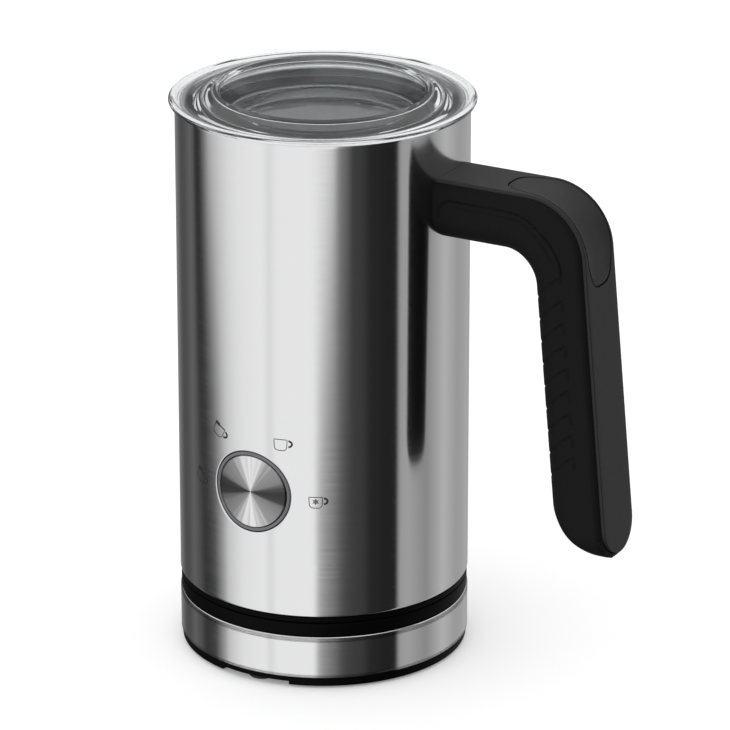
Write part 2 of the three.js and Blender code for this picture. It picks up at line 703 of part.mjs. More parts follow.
// ---------- lid ----------
function buildLid() {
  const under = shellTop + gap;
  const crest = shellTop + lidRise;
  const wellFloor = crest - lidWellDepth;
  const flange = jugRadius + lidOverhang;
  const plug = potTopRadius - gap;
  const skirtBottomLevel = shellTop - lidSkirt;
  const seatTop = skirtBottomLevel + 1.2 + sealHeight + gap;
  const seatBottom = skirtBottomLevel + 1.2 - gap;
  const neck = plug - sealDepth - gap;
  const innerSkirt = neck - lidWall;
  const profile = [
    [0, wellFloor], [lidWellRadius, wellFloor], [lidCrestRadius - 1.2, crest - 1], [lidCrestRadius, crest],
    [lidCrestRadius + 2, crest - 0.3], [jugRadius - 4, under + 0.9], [jugRadius - 2, under + 0.8],
    [jugRadius, under + 1.9], [flange - 0.6, under + 1.6], [flange, under + 0.9], [flange - 0.5, under],
    [plug, under], [plug, seatTop], [neck, seatTop], [neck, seatBottom], [plug, seatBottom],
    [plug, skirtBottomLevel], [innerSkirt, skirtBottomLevel], [innerSkirt, under - 1.6],
    [lidCrestRadius + 1.2, crest - 2.2], [lidCrestRadius + 0.6, crest - 2.4],
    [lidWellRadius + 1.4, wellFloor - lidWall], [0, wellFloor - lidWall],
  ];
  addPart('lid_cover', turned(profile, FINE), 'clear');
  const lipBottom = seatBottom + gap;
  const seal = turned([
    [neck + gap, lipBottom], [plug - 0.2, lipBottom], [plug, lipBottom + 0.8], [plug - 0.5, lipBottom + 1.6],
    [plug - 0.5, lipBottom + 2.4], [plug, lipBottom + 3.2], [plug - 0.2, lipBottom + sealHeight],
    [neck + gap, lipBottom + sealHeight],
  ], FINE);
  addPart('lid_seal', seal, 'silicone');
}

// ---------- handle ----------
const backTop = jugRadius + handleReach;

// Point on the grip's back line at a level, moved inwards, square to the line, by an offset.
function backLine(level, offset) {
  const along = (armTop - level) * Math.tan(gripLean);
  return backTop + along - offset / Math.cos(gripLean);
}

// Outline, in [x, z], along the arm, round the bend and down the grip, at an offset inside the outer face.
function gripPath(offset, bend, start, end, steps = 8) {
  const level = armTop - offset;
  const cornerX = backLine(level, offset);
  const turn = Math.PI / 2 - gripLean;
  const tangent = bend * Math.tan(turn / 2);
  const centre = [cornerX - tangent, level - bend];
  const points = [[start, level]];
  for (let i = 0; i <= steps; i += 1) {
    const a = Math.PI / 2 - (turn * i) / steps;
    points.push([centre[0] + bend * Math.cos(a), centre[1] + bend * Math.sin(a)]);
  }
  points.push([backLine(end, offset), end]);
  return points;
}

// A flat plate in the handle's middle plane, from a closed [x, z] outline.
function slab(outline, halfWidth) {
  const shape = new THREE.Shape(outline.map(([x, z]) => new THREE.Vector2(x, z)));
  return new THREE.ExtrudeGeometry(shape, { depth: 2 * halfWidth, bevelEnabled: false })
    .rotateX(Math.PI / 2)
    .translate(0, halfWidth, 0);
}

function strip(outerOffset, innerOffset, halfWidth, end) {
  const outer = gripPath(outerOffset, outerBend - outerOffset, 0, end);
  const inner = gripPath(innerOffset, outerBend - innerOffset, 0, end);
  return slab([...outer, ...inner.reverse()], halfWidth);
}

// Everything the handle may fill: outside the shell, rounded at the tip from the side and from behind.
function handleEnvelope() {
  const floor = tipLevel;
  const sideArc = [];
  for (let i = 0; i <= 8; i += 1) {
    const a = (i * Math.PI) / 16;
    const level = floor + tipRise - tipRise * Math.sin(a);
    sideArc.push([backLine(level, handleThickness * Math.cos(a)), level]);
  }
  const side = slab([
    [0, armTop + 1], [backTop + 40, armTop + 1], [backTop + 40, floor], ...sideArc.reverse(),
    [0, floor + tipRise],
  ], 40);
  const half = handleHalfWidth + 1;
  const outline = [[-half, armTop + 1], [-half, floor + tipRound]];
  for (let i = 0; i <= 12; i += 1) {
    const a = Math.PI - (i * Math.PI) / 12;
    outline.push([handleHalfWidth * Math.cos(a), floor + tipRound - tipRound * Math.sin(a)]);
  }
  outline.push([half, floor + tipRound], [half, armTop + 1]);
  const front = slab(outline, 200).rotateZ(Math.PI / 2);
  const beyond = disc(jugRadius + gap, 0, shellTop, FINE);
  return cut(common(side, front), beyond);
}

function belly() {
  const offset = handleThickness - bellyDepth;
  const route = gripPath(offset, innerBend + bellyDepth, 0, tipLevel, 8);
  const path = new THREE.CurvePath();
  for (let i = 0; i < route.length - 1; i += 1) {
    const [a, b] = [route[i], route[i + 1]];
    path.add(new THREE.LineCurve3(new THREE.Vector3(a[0], 0, a[1]), new THREE.Vector3(b[0], 0, b[1])));
  }
  const section = new THREE.Shape();
  section.absellipse(0, 0, bellyDepth, handleHalfWidth, 0, 2 * Math.PI);
  const options = { steps: 24, curveSegments: 6, extrudePath: path, bevelEnabled: false };
  return new THREE.ExtrudeGeometry(section, options);
}

// The thumb rest's outline: an oval with full ends, seen square to the bend.
function thumbZone(grow) {
  const centreX = backLine(armTop, 0) - outerBend * Math.tan((Math.PI / 2 - gripLean) / 2);
  const power = 2 / thumbSquareness;
  const fuller = (value) => Math.sign(value) * Math.abs(value) ** power;
  const outline = [];
  for (let i = 0; i < MEDIUM; i += 1) {
    const a = (i * 2 * Math.PI) / MEDIUM;
    outline.push(new THREE.Vector2(
      (thumbHalfLength + grow) * fuller(Math.cos(a)), (thumbHalfWidth + grow) * fuller(Math.sin(a))));
  }
  return new THREE.ExtrudeGeometry(new THREE.Shape(outline), { depth: 2 * outerBend, bevelEnabled: false })
    .rotateY(Math.PI / 4 + gripLean / 2)
    .translate(centreX, 0, armTop - outerBend);
}

function handleScrewLevels() {
  const middle = armTop - coverThickness - coreRootDepth / 2 - 1;
  return [middle + handleScrewSpacing / 2, middle - handleScrewSpacing / 2];
}

// The core's band along the handle and its root block, from an outer offset inwards, grown by a clearance.
function coreShape(outerOffset, grow) {
  const outerFace = coverThickness + 2 * gap;
  const innerOffset = outerFace + coreThickness + grow;
  const halfWidth = coreHalfWidth + grow;
  const band = strip(outerOffset, innerOffset, halfWidth, tipLevel + coreEnd - grow);
  const rootBottom = armTop - outerFace - coreRootDepth - grow;
  const rootEnd = jugRadius + coreRootLength + grow;
  return join(band, box(1, rootEnd, -halfWidth, halfWidth, rootBottom, armTop - outerFace - 1));
}

// The cover's outline along the handle's back, down to its round lower end, grown by a clearance.
function coverShape(outerOffset, innerOffset, grow) {
  const half = coverHalfWidth + grow;
  const end = tipLevel + lipTip - grow;
  const outline = [[-half, armTop + overcut], [-half, end + half]];
  for (let i = 0; i <= 12; i += 1) {
    const a = Math.PI - (i * Math.PI) / 12;
    outline.push([half * Math.cos(a), end + half - half * Math.sin(a)]);
  }
  outline.push([half, armTop + overcut]);
  const behind = slab(outline, 4 * jugRadius).rotateZ(Math.PI / 2);
  return common(strip(outerOffset, innerOffset, half, tipLevel - overcut), behind);
}

function buildGrip(envelope) {
  const rearOffset = handleThickness - bellyDepth;
  const rearInner = gripPath(rearOffset, innerBend + bellyDepth, 0, tipLevel);
  const rearOuter = gripPath(lipDrop, outerBend - lipDrop, 0, tipLevel);
  const rear = slab([...rearOuter, ...rearInner.reverse()], handleHalfWidth);
  const crest = gripPath(handleThickness, innerBend, 0, tipLevel);
  const side = slab([...rearOuter, ...crest.reverse()], handleHalfWidth + 1);
  const pocket = coverShape(-1, coverThickness + gap, gap);
  const grip = cut(common(join(rear, belly()), side, envelope), pocket, coreShape(0, gap));
  addPart('handle_grip', grip, 'softGrip');
}

function buildHandleCover(envelope) {
  const cover = common(coverShape(0, coverThickness, 0), envelope);
  const pocket = common(strip(-1, thumbThickness + gap, coverHalfWidth, tipLevel), thumbZone(gap));
  addPart('handle_cover', cut(cover, pocket), 'charcoalPlastic');
  const pad = common(strip(0, thumbThickness, coverHalfWidth, tipLevel), thumbZone(0));
  addPart('thumb_rest', pad, 'charcoalPlastic');
}

// The handle's stiff core, the bracket inside the shell and the screws that hold them together.
function buildHandleCore() {
  const clearOfJug = disc(jugRadius + gap, 0, shellTop, FINE);
  const along = (from, to, radius, level) => disc(radius, from, to, SMALL)
    .rotateY(Math.PI / 2)
    .translate(0, 0, level);
  const plateOuter = shellInner - gap;
  const screwStart = plateOuter - bracketThickness - gap;
  const screwEnd = jugRadius + handleScrewLength;
  const levels = handleScrewLevels();
  const pilots = levels.map((z) => along(0, screwEnd + gap, screwHole, z));
  addPart('handle_core', cut(coreShape(coverThickness + 2 * gap, 0), clearOfJug, ...pilots), 'nylon');
  const edge = handleScrewSpacing * 0.75;
  const plate = common(
    tube(plateOuter - bracketThickness, plateOuter, levels[1] - edge, levels[0] + edge, FINE),
    box(1, jugRadius, -bracketHalfWidth, bracketHalfWidth, 0, shellTop));
  addPart('handle_bracket', cut(plate, ...pilots), 'steel');
  levels.forEach((z, i) => {
    const screw = join(
      along(screwStart - handleScrewHeadHeight, screwStart, handleScrewHead, z),
      along(screwStart - 0.5, screwEnd, screwShank, z));
    addPart(`handle_screw_${i + 1}`, screw, 'steel');
  });
}

function buildHandle() {
  const envelope = handleEnvelope();
  buildGrip(envelope);
  buildHandleCover(envelope);
  buildHandleCore();
}

buildFeet();
buildBaseBottom();
buildBand();
buildBaseTop();
buildGland();
buildBaseConnector();
buildJugConnector();
buildJugCover();
buildShell();
buildPot();
buildMotor();
buildRotor();
buildHeater();
buildPowerBoard();
buildControlBoard();
buildButton();
buildWhisk();
buildLid();
buildHandle();

export default object;
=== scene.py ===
import math
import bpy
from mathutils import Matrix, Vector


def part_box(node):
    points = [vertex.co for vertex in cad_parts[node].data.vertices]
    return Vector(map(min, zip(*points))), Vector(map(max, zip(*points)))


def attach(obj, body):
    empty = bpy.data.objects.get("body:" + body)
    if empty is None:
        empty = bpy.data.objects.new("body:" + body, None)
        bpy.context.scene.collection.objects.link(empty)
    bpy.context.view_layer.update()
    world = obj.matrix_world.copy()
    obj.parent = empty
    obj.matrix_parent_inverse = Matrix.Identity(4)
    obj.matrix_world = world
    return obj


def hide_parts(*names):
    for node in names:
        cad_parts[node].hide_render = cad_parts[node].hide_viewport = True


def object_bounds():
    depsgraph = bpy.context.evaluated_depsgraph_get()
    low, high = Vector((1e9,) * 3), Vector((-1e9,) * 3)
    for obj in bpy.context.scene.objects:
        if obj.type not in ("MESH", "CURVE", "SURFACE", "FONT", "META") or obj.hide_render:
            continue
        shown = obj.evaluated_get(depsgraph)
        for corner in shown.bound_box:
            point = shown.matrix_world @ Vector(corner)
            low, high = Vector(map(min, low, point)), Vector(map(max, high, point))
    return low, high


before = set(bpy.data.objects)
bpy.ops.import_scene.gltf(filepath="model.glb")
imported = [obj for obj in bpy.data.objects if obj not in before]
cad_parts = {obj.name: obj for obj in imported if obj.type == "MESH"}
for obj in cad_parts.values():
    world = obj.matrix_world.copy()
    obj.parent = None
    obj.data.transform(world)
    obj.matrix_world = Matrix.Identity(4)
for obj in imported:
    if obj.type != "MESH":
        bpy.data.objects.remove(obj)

from types import SimpleNamespace

import bmesh
import bpy
from mathutils import Matrix, Vector

bl_info = {
    "name": "Milk Frother Studio",
    "version": (1, 0, 0),
    "blender": (4, 5, 0),
    "location": "View3D > Sidebar > Frother",
    "description": "Builds the finished look of a cordless milk frother around its packed parts",
    "category": "Object",
}

MM = 0.001
CAD_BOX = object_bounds()
FRONT = -math.pi / 2  # the button's side, -Y
GAP = 0.3  # clearance between pieces, in millimetres
CORD_HOLE = 4.2  # hole for the cord's bush in the band and the top cover
COLLAR_HOLE = 14.2  # hole in the jug's bottom cover for the socket


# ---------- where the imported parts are, in millimetres ----------
def place(node):
    """Radius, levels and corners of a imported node."""
    low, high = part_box(node)
    low, high = low / MM, high / MM
    return SimpleNamespace(low=low, high=high, bottom=low.z, top=high.z, radius=high.y,
                           middle=(low + high) / 2)


SHELL = place("outer_shell")
BAND = place("base_band")
RIM = place("base_top_cover")
SKIRT = place("base_bottom_cover")
COLLAR = place("jug_base_cover")
POT = place("inner_pot")
LID = place("lid_cover")
SEAL = place("lid_seal")
CAP = place("button_cap")
LIGHT = place("light_ring")
COVER = place("handle_cover")
GRIP = place("handle_grip")
THUMB = place("thumb_rest")
GLAND = place("cord_gland")


# ---------- colours ----------
def linear(code):
    """An sRGB hex colour as linear red, green, blue and alpha."""
    parts = [int(code[i:i + 2], 16) / 255 for i in (1, 3, 5)]
    return (*(c / 12.92 if c <= 0.04045 else ((c + 0.055) / 1.055) ** 2.4 for c in parts), 1.0)


def colour_setting(name, code, description):
    return bpy.props.FloatVectorProperty(
        name=name, description=description, subtype="COLOR", size=4, min=0, max=1, default=linear(code))


def length_setting(name, millimetres, description):
    return bpy.props.FloatProperty(
        name=name, description=description, subtype="DISTANCE", unit="LENGTH", min=0,
        default=millimetres * MM)


class FrotherColours(bpy.types.PropertyGroup):
    """Colours of the finishes."""
    steel: colour_setting("Steel", "#cbcbcc", "Brushed stainless steel of the jug, band and button")
    black: colour_setting("Black", "#060606", "Moulded black plastic of the base and collar")
    charcoal: colour_setting("Charcoal", "#1e1e1f", "Grained plastic of the handle's cover and thumb rest")
    grip: colour_setting("Grip", "#0b0b0b", "Soft elastomer of the grip")
    coating: colour_setting("Coating", "#a6a7a9", "Non-stick coating inside the pot")
    clear: colour_setting("Clear", "#e9ebec", "Clear plastic of the lid")
    smoked: colour_setting("Smoked", "#67676a", "Light guide round the button")
    ink: colour_setting("Ink", "#0c0c0c", "Printed symbols")
    floor: colour_setting("Floor", "#ffffff", "Studio floor")


class FrotherSizes(bpy.types.PropertyGroup):
    """Sizes of the visible details."""
    edge: length_setting("Edge radius", 0.35, "Rounding of the steel edges")
    line: length_setting("Symbol line", 0.4, "Line width of the printed symbols")
    groove: length_setting("Groove width", 0.65, "Width of the grooves moulded in the grip")
    rib_pitch: length_setting("Rib pitch", 7.8, "Spacing of the ribs inside the grip")
    rib_depth: length_setting("Rib depth", 0.45, "Depth of the ribs inside the grip")
    wire: length_setting("Whisk wire", 0.7, "Diameter of the whisk's wire")
    coil_pitch: length_setting("Coil pitch", 1.35, "Spacing of the turns of the whisk's coil")
    dish: length_setting("Thumb dish", 0.85, "Depth of the hollow in the thumb rest")


# ---------- materials ----------
def add_node(tree, kind, inputs=None, **settings):
    """Adds a node; its inputs are values, sockets, or nodes whose first output feeds them."""
    made = tree.nodes.new("ShaderNode" + kind)
    for name, value in settings.items():
        setattr(made, name, value)
    for key, value in (inputs or {}).items():
        if isinstance(value, bpy.types.Node):
            value = value.outputs[0]
        if isinstance(value, bpy.types.NodeSocket):
            tree.links.new(value, made.inputs[key])
        else:
            made.inputs[key].default_value = value
    return made


def per_metre(millimetres):
    """Scale of a pattern whose features are this many millimetres apart."""
    return 1 / (millimetres * MM)


def set_greys(ramp, greys):
    """Gives a colour ramp its (position, hex) greys."""
    first, last = ramp.elements
    first.position, last.position = greys[0][0], greys[-1][0]
    first.color, last.color = linear(greys[0][1]), linear(greys[-1][1])
    for position, grey in greys[1:-1]:
        ramp.elements.new(position).color = linear(grey)


def colour_of(code):
    """A colour from its hex code, or from the name of a colour setting."""
    return linear(code) if code.startswith("#") else getattr(bpy.context.scene.frother_colours, code)


def patches(tree, size, stretch=(1, 1, 1), detail=3.0):
    """Noise in patches of a real size in millimetres."""
    at = add_node(tree, "TexCoord").outputs["Object"]
    stretched = add_node(tree, "VectorMath", {0: at, 1: stretch}, operation="MULTIPLY")
    return add_node(tree, "TexNoise", {"Vector": stretched, "Scale": per_metre(size), "Detail": detail})


def tint(tree, shader, code, spread, size, stretch=(1, 1, 1)):
    """Slow variation of a colour over a surface."""
    colour = colour_of(code)
    darker, lighter = [(*(min(1, c * share) for c in colour[:3]), 1.0) for share in (1 - spread, 1 + spread)]
    mixed = add_node(tree, "Mix", {0: patches(tree, size, stretch), 6: darker, 7: lighter}, data_type="RGBA")
    tree.links.new(mixed.outputs[2], shader.inputs["Base Color"])


def roughen(tree, shader, low, high, size, stretch=(1, 1, 1)):
    """Roughness that wanders between two values; the noise seldom leaves 0.3 to 0.7."""
    noise = patches(tree, size, stretch, detail=2.0)
    ranged = add_node(
        tree, "MapRange", {"Value": noise, "From Min": 0.3, "From Max": 0.7, "To Min": low, "To Max": high})
    tree.links.new(ranged.outputs[0], shader.inputs["Roughness"])


def emboss(tree, shader, size, depth, detail=2.0):
    """Fine relief of a real size and depth in millimetres."""
    bump = add_node(
        tree, "Bump", {"Height": patches(tree, size, detail=detail), "Distance": depth * MM, "Strength": 1.0})
    tree.links.new(bump.outputs[0], shader.inputs["Normal"])


def mark_rings(tree, shader, axis):
    """Lays the brushing marks in rings about an axis."""
    tangent = add_node(tree, "Tangent", direction_type="RADIAL", axis=axis)
    tree.links.new(tangent.outputs[0], shader.inputs["Tangent"])


def brushing(tree, shader):
    mark_rings(tree, shader, "Z")


# greys of the painted reflection fans on the turned disc, from its sides (0) to straight above and below its
# middle (1)
PAINTED_REFLECTION_FANS = [(0.0, "#3c3c3c"), (0.2, "#444444"), (0.42, "#7e7e7e"), (0.8, "#8c8c8c"), (0.93, "#b4b4b4"),
        (1.0, "#d8d8d8")]
TURNING = 2.2  # period of the wave that gives rings 0.35 mm apart, ten times coarser than real turning marks


def turning_and_painted_fans(tree, shader):
    """Painted reflection in the base colour: narrow bright fans up and down, broad dark fans to the sides,
    broken into spokes; below them, fine rings in the roughness.
    """
    mark_rings(tree, shader, "Y")
    at = add_node(tree, "TexCoord").outputs["Object"]
    moved = add_node(tree, "VectorMath", {0: at, 1: (0, 0, -CAP.middle.z * MM)}, operation="ADD")
    flat = add_node(tree, "VectorMath", {0: moved, 1: (1, 0, 1)}, operation="MULTIPLY")
    spoke = add_node(tree, "VectorMath", {0: flat}, operation="NORMALIZE")
    upright = add_node(tree, "SeparateXYZ", {0: spoke}).outputs["Z"]
    steep = add_node(tree, "Math", {0: upright}, operation="ABSOLUTE")
    noise = add_node(tree, "TexNoise", {"Vector": spoke, "Scale": 7.0, "Detail": 3.0})
    uneven = add_node(tree, "Math", {0: noise, 1: 0.3, 2: -0.15}, operation="MULTIPLY_ADD")
    painted_fan = add_node(tree, "Math", {0: steep, 1: uneven}, operation="ADD")
    # painted reflection: these fan greys become the disc's base colour, fixed on the object
    painted_fan_greys = add_node(tree, "ValToRGB", {"Fac": painted_fan})
    set_greys(painted_fan_greys.color_ramp, PAINTED_REFLECTION_FANS)
    tree.links.new(painted_fan_greys.outputs[0], shader.inputs["Base Color"])
    rings = add_node(
        tree, "TexWave", {"Vector": moved, "Scale": per_metre(TURNING), "Distortion": 0.0},
        wave_type="RINGS", rings_direction="Y").outputs["Fac"]
    ranged = add_node(tree, "MapRange", {"Value": rings, "To Min": 0.3, "To Max": 0.36})
    tree.links.new(ranged.outputs[0], shader.inputs["Roughness"])


def recipe(slot, values, tone=None, rough=None, relief=None, marks=None):
    """A finish: its slot in the record, values that are the same all over, its patterns and its marks."""
    return SimpleNamespace(slot=slot, values=values, patterns=((tint, tone), (roughen, rough),
                                                               (emboss, relief)),
                           marks=marks)


METAL = {"Metallic": 1.0}
ROUND = (0.01, 0.01, 1)  # stretches a pattern into lines round the jug
FINISHES = {
    # Stainless sheet brushed round the jug: reflections stay crisp sideways and smear up and down.
    # The real scratches are about 0.02 mm apart; drawn ten times coarser so that they show.
    "brushed_stainless": recipe(
        "brushed_steel", {**METAL, "Anisotropic": 0.75, "Anisotropic Rotation": 0.25},
        ("steel", 0.02, 0.25, ROUND), (0.1, 0.135, 0.3, ROUND), marks=brushing),
    # A steel disc faced on a lathe, with painted reflection: its bright and dark fans from the middle are
    # painted into its colour.
    "spun_stainless": recipe(
        "brushed_steel", {**METAL, "Anisotropic": 0.95, "Anisotropic Rotation": 0.25}, marks=turning_and_painted_fans),
    # Plated screw and bracket steel: a soft even shine with faint rolling marks.
    "satin_steel": recipe("plain_steel", METAL, ("steel", 0.08, 1.5, (1, 1, 0.2)), (0.26, 0.36, 0.8)),
    # Bright drawn wire: sharper highlights than the sheet, with fine draw lines.
    "drawn_wire_steel": recipe("plain_steel", METAL, ("steel", 0.05, 0.6), (0.12, 0.2, 0.4)),
    # Satin ABS from a finely sparked mould: deep black with a broad soft sheen.
    # Spark texture of about 0.15 mm, drawn at 0.3 mm.
    "moulded_black_abs": recipe(
        "black_plastic", {"IOR": 1.54, "Specular IOR Level": 0.03}, ("black", 0.12, 1.2), (0.36, 0.46, 0.9),
        (0.3, 0.004)),
    # Matt grained ABS: a dark grey face that catches a wide, dull light. Leather-like mould grain of 0.25 mm.
    "grained_charcoal_abs": recipe(
        "charcoal_plastic", {"IOR": 1.54, "Specular IOR Level": 0.23}, ("charcoal", 0.1, 0.8),
        (0.46, 0.54, 0.5), (0.25, 0.012)),
    # Overmoulded thermoplastic elastomer: nearly black, with almost no highlight.
    # The matt skin has a grain of about 0.1 mm, drawn at 0.2 mm.
    "soft_touch_elastomer": recipe(
        "soft_grip", {"IOR": 1.48, "Specular IOR Level": 0.13}, ("grip", 0.12, 1.0), (0.6, 0.7, 0.6),
        (0.2, 0.01)),
    # Moulded nitrile rubber: dull black, a little dusty.
    "matt_rubber": recipe("rubber", {}, ("#1c1c1c", 0.2, 2.0), (0.75, 0.9, 1.2), (0.4, 0.015)),
    # Sprayed and baked fluoropolymer on drawn aluminium: an even grey with a low sheen and fine orange peel.
    "non_stick_coating": recipe(
        "coated_aluminium", {"IOR": 1.4, "Metallic": 0.35}, ("coating", 0.06, 0.7), (0.34, 0.42, 1.5),
        (0.8, 0.006)),
    # Injection moulded styrene: water clear, bright at its edges, with slight flow ripples.
    "clear_polished_plastic": recipe(
        "clear_plastic", {"IOR": 1.5, "Transmission Weight": 1.0, "Base Color": "clear", "Roughness": 0.02},
        relief=(9.0, 0.02, 1.0)),
    # Milky food-grade silicone: light passes a short way into it.
    "moulded_silicone": recipe(
        "silicone", {"IOR": 1.41, "Subsurface Weight": 0.2, "Subsurface Radius": (0.002, 0.002, 0.002)},
        ("#a9abad", 0.03, 1.5), (0.5, 0.6, 1.0)),
    # Tinted polycarbonate over dark lamps: a satin grey ring.
    "smoked_light_guide": recipe("smoked_plastic", {"IOR": 1.58}, ("smoked", 0.06, 1.0), (0.38, 0.46, 0.8)),
    # Pad-printed epoxy ink, a few hundredths of a millimetre thick: flat dark grey with uneven cover.
    "printed_ink": recipe(None, {}, ("ink", 0.25, 0.25), (0.5, 0.65, 0.3)),
    # Copper contacts under a thin plating: warm and bright, rubbed in rings by use.
    "plated_copper": recipe("copper", METAL, ("#c98d5a", 0.1, 0.8, (1, 1, 3)), (0.22, 0.34, 0.5, (1, 1, 4))),
    # Sintered magnet with bright nickel plating.
    "nickel_plated_magnet": recipe("magnet", METAL, ("#b6b3ac", 0.05, 0.8), (0.16, 0.26, 0.8)),
    # Glass-epoxy board under green solder mask: the weave and copper below show as faint tone changes.
    "solder_mask_board": recipe("circuit_board", {}, ("#1c5c38", 0.25, 1.2), (0.3, 0.42, 0.8), (0.5, 0.01)),
    # Moulded natural polyamide: creamy, waxy and slightly uneven.
    "natural_nylon": recipe("nylon", {"IOR": 1.53}, ("#cfcabb", 0.06, 1.5), (0.42, 0.52, 1.2), (0.6, 0.01)),
    # Matt painted board with the faintest roller texture; a slight glow keeps it an even white.
    "painted_studio_floor": recipe(
        None, {"Emission Color": "floor", "Emission Strength": 0.2}, ("floor", 0.005, 60.0),
        (0.85, 0.95, 40.0)),
}


def finish(name):
    """The material of that name, made when first asked for."""
    if name in bpy.data.materials:
        return bpy.data.materials[name]
    made = bpy.data.materials.new(name)
    made.use_nodes = True
    tree = made.node_tree
    tree.nodes.clear()
    shader = add_node(tree, "BsdfPrincipled")
    add_node(tree, "OutputMaterial", {"Surface": shader})
    wanted = FINISHES[name]
    for key, value in wanted.values.items():
        shader.inputs[key].default_value = colour_of(value) if isinstance(value, str) else value
    for pattern, numbers in wanted.patterns:
        if numbers:
            pattern(tree, shader, *numbers)
    if wanted.marks:
        wanted.marks(tree, shader)
    return made


# ---------- meshes ----------
def add_grid(mesh, rows, closed=False):
    """Quads between rows of points in millimetres; closed joins each row's end to its start."""
    made = [[mesh.verts.new(Vector(p) * MM) for p in row] for row in rows]
    count = len(rows[0])
    for low, high in zip(made, made[1:]):
        for i in range(count if closed else count - 1):
            j = (i + 1) % count
            mesh.faces.new((low[i], low[j], high[j], high[i]))


def new_piece(name, mesh, sharp=35):
    """An object from a bmesh: shared points welded, facing out, smooth up to the sharp angle."""
    bmesh.ops.remove_doubles(mesh, verts=mesh.verts, dist=1e-6)
    bmesh.ops.dissolve_degenerate(mesh, edges=mesh.edges, dist=1e-6)
    bmesh.ops.recalc_face_normals(mesh, faces=mesh.faces)
    data = bpy.data.meshes.new(name)
    mesh.to_mesh(data)
    mesh.free()
    data.shade_smooth()
    data.set_sharp_from_angle(angle=math.radians(sharp))
    piece = bpy.data.objects.new(name, data)
    bpy.context.scene.collection.objects.link(piece)
    return piece


def carve(piece, cutters, sharp=35):
    """Takes the cutters' shapes out of a piece and removes them."""
    for cutter in cutters:
        step = piece.modifiers.new(cutter.name, "BOOLEAN")
        step.object = cutter
        step.operation = "DIFFERENCE"
        step.solver = "EXACT"
    graph = bpy.context.evaluated_depsgraph_get()
    carved = bpy.data.meshes.new_from_object(piece.evaluated_get(graph))
    piece.modifiers.clear()
    piece.data = carved
    carved.set_sharp_from_angle(angle=math.radians(sharp))
    for cutter in cutters:
        bpy.data.objects.remove(cutter)


def dress(piece, finish_name, body, *nodes):
    """Gives a piece its finish and body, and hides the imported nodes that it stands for."""
    piece.data.materials.clear()
    piece.data.materials.append(finish(finish_name))
    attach(piece, body)
    if nodes:
        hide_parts(*nodes)
    return piece


def rounded(points, steps=5):
    """A profile from (radius, level, rounding) corners; a curve starts its rounding away from the corner."""
    profile = []
    count = len(points)
    for i, (r, z, cut) in enumerate(points):
        if not cut:
            profile.append((r, z))
            continue
        corner = Vector((r, z))
        before = Vector(points[i - 1][:2]) - corner
        after = Vector(points[(i + 1) % count][:2]) - corner
        start = corner + before.normalized() * cut
        end = corner + after.normalized() * cut
        for k in range(steps + 1):
            t = k / steps
            p = start * (1 - t) ** 2 + corner * 2 * t * (1 - t) + end * t ** 2
            profile.append((p.x, p.y))
    return profile


def add_turned(mesh, profile, segments=192):
    """A closed body of revolution about Z."""
    turns = [2 * math.pi * i / segments for i in range(segments)]
    rows = [[(r * math.cos(a), r * math.sin(a), z) for a in turns] for r, z in [*profile, profile[0]]]
    add_grid(mesh, rows, closed=True)


def turned_piece(name, corners, segments=192, sharp=35, axis_at=(0, 0), steps=5):
    mesh = bmesh.new()
    add_turned(mesh, rounded(corners, steps), segments)
    bmesh.ops.translate(mesh, verts=mesh.verts, vec=Vector((*axis_at, 0)) * MM)
    return new_piece(name, mesh, sharp)


def rod_cutter(radius, bottom, top, axis_at, segments=32):
    return turned_piece("cutter", [(0, bottom, 0), (radius, bottom, 0), (radius, top, 0), (0, top, 0)],
                        segments, axis_at=axis_at)


def turned_about_y(piece, level):
    """Lays a piece built about Z so that its +Z points to +Y, at a level."""
    piece.data.transform(Matrix.Translation((0, 0, level * MM)) @ Matrix.Rotation(-math.pi / 2, 4, "X"))


def front_point(radius, rho, turn, depth, level):
    """A point at polar place (rho, turn) on the jug's front, so deep below the cylinder of that radius."""
    x = rho * math.cos(turn)
    return (x, depth - math.sqrt(radius * radius - x * x), level + rho * math.sin(turn))


AROUND = 256  # points round the steel sheets
ROW = 6.0  # spacing of a wall's rows, except the support rows near its ends
SUPPORT = 0.5  # how far from a wall's end its support row is
RINGS = 12  # rings from a hole to the edge of its square patch


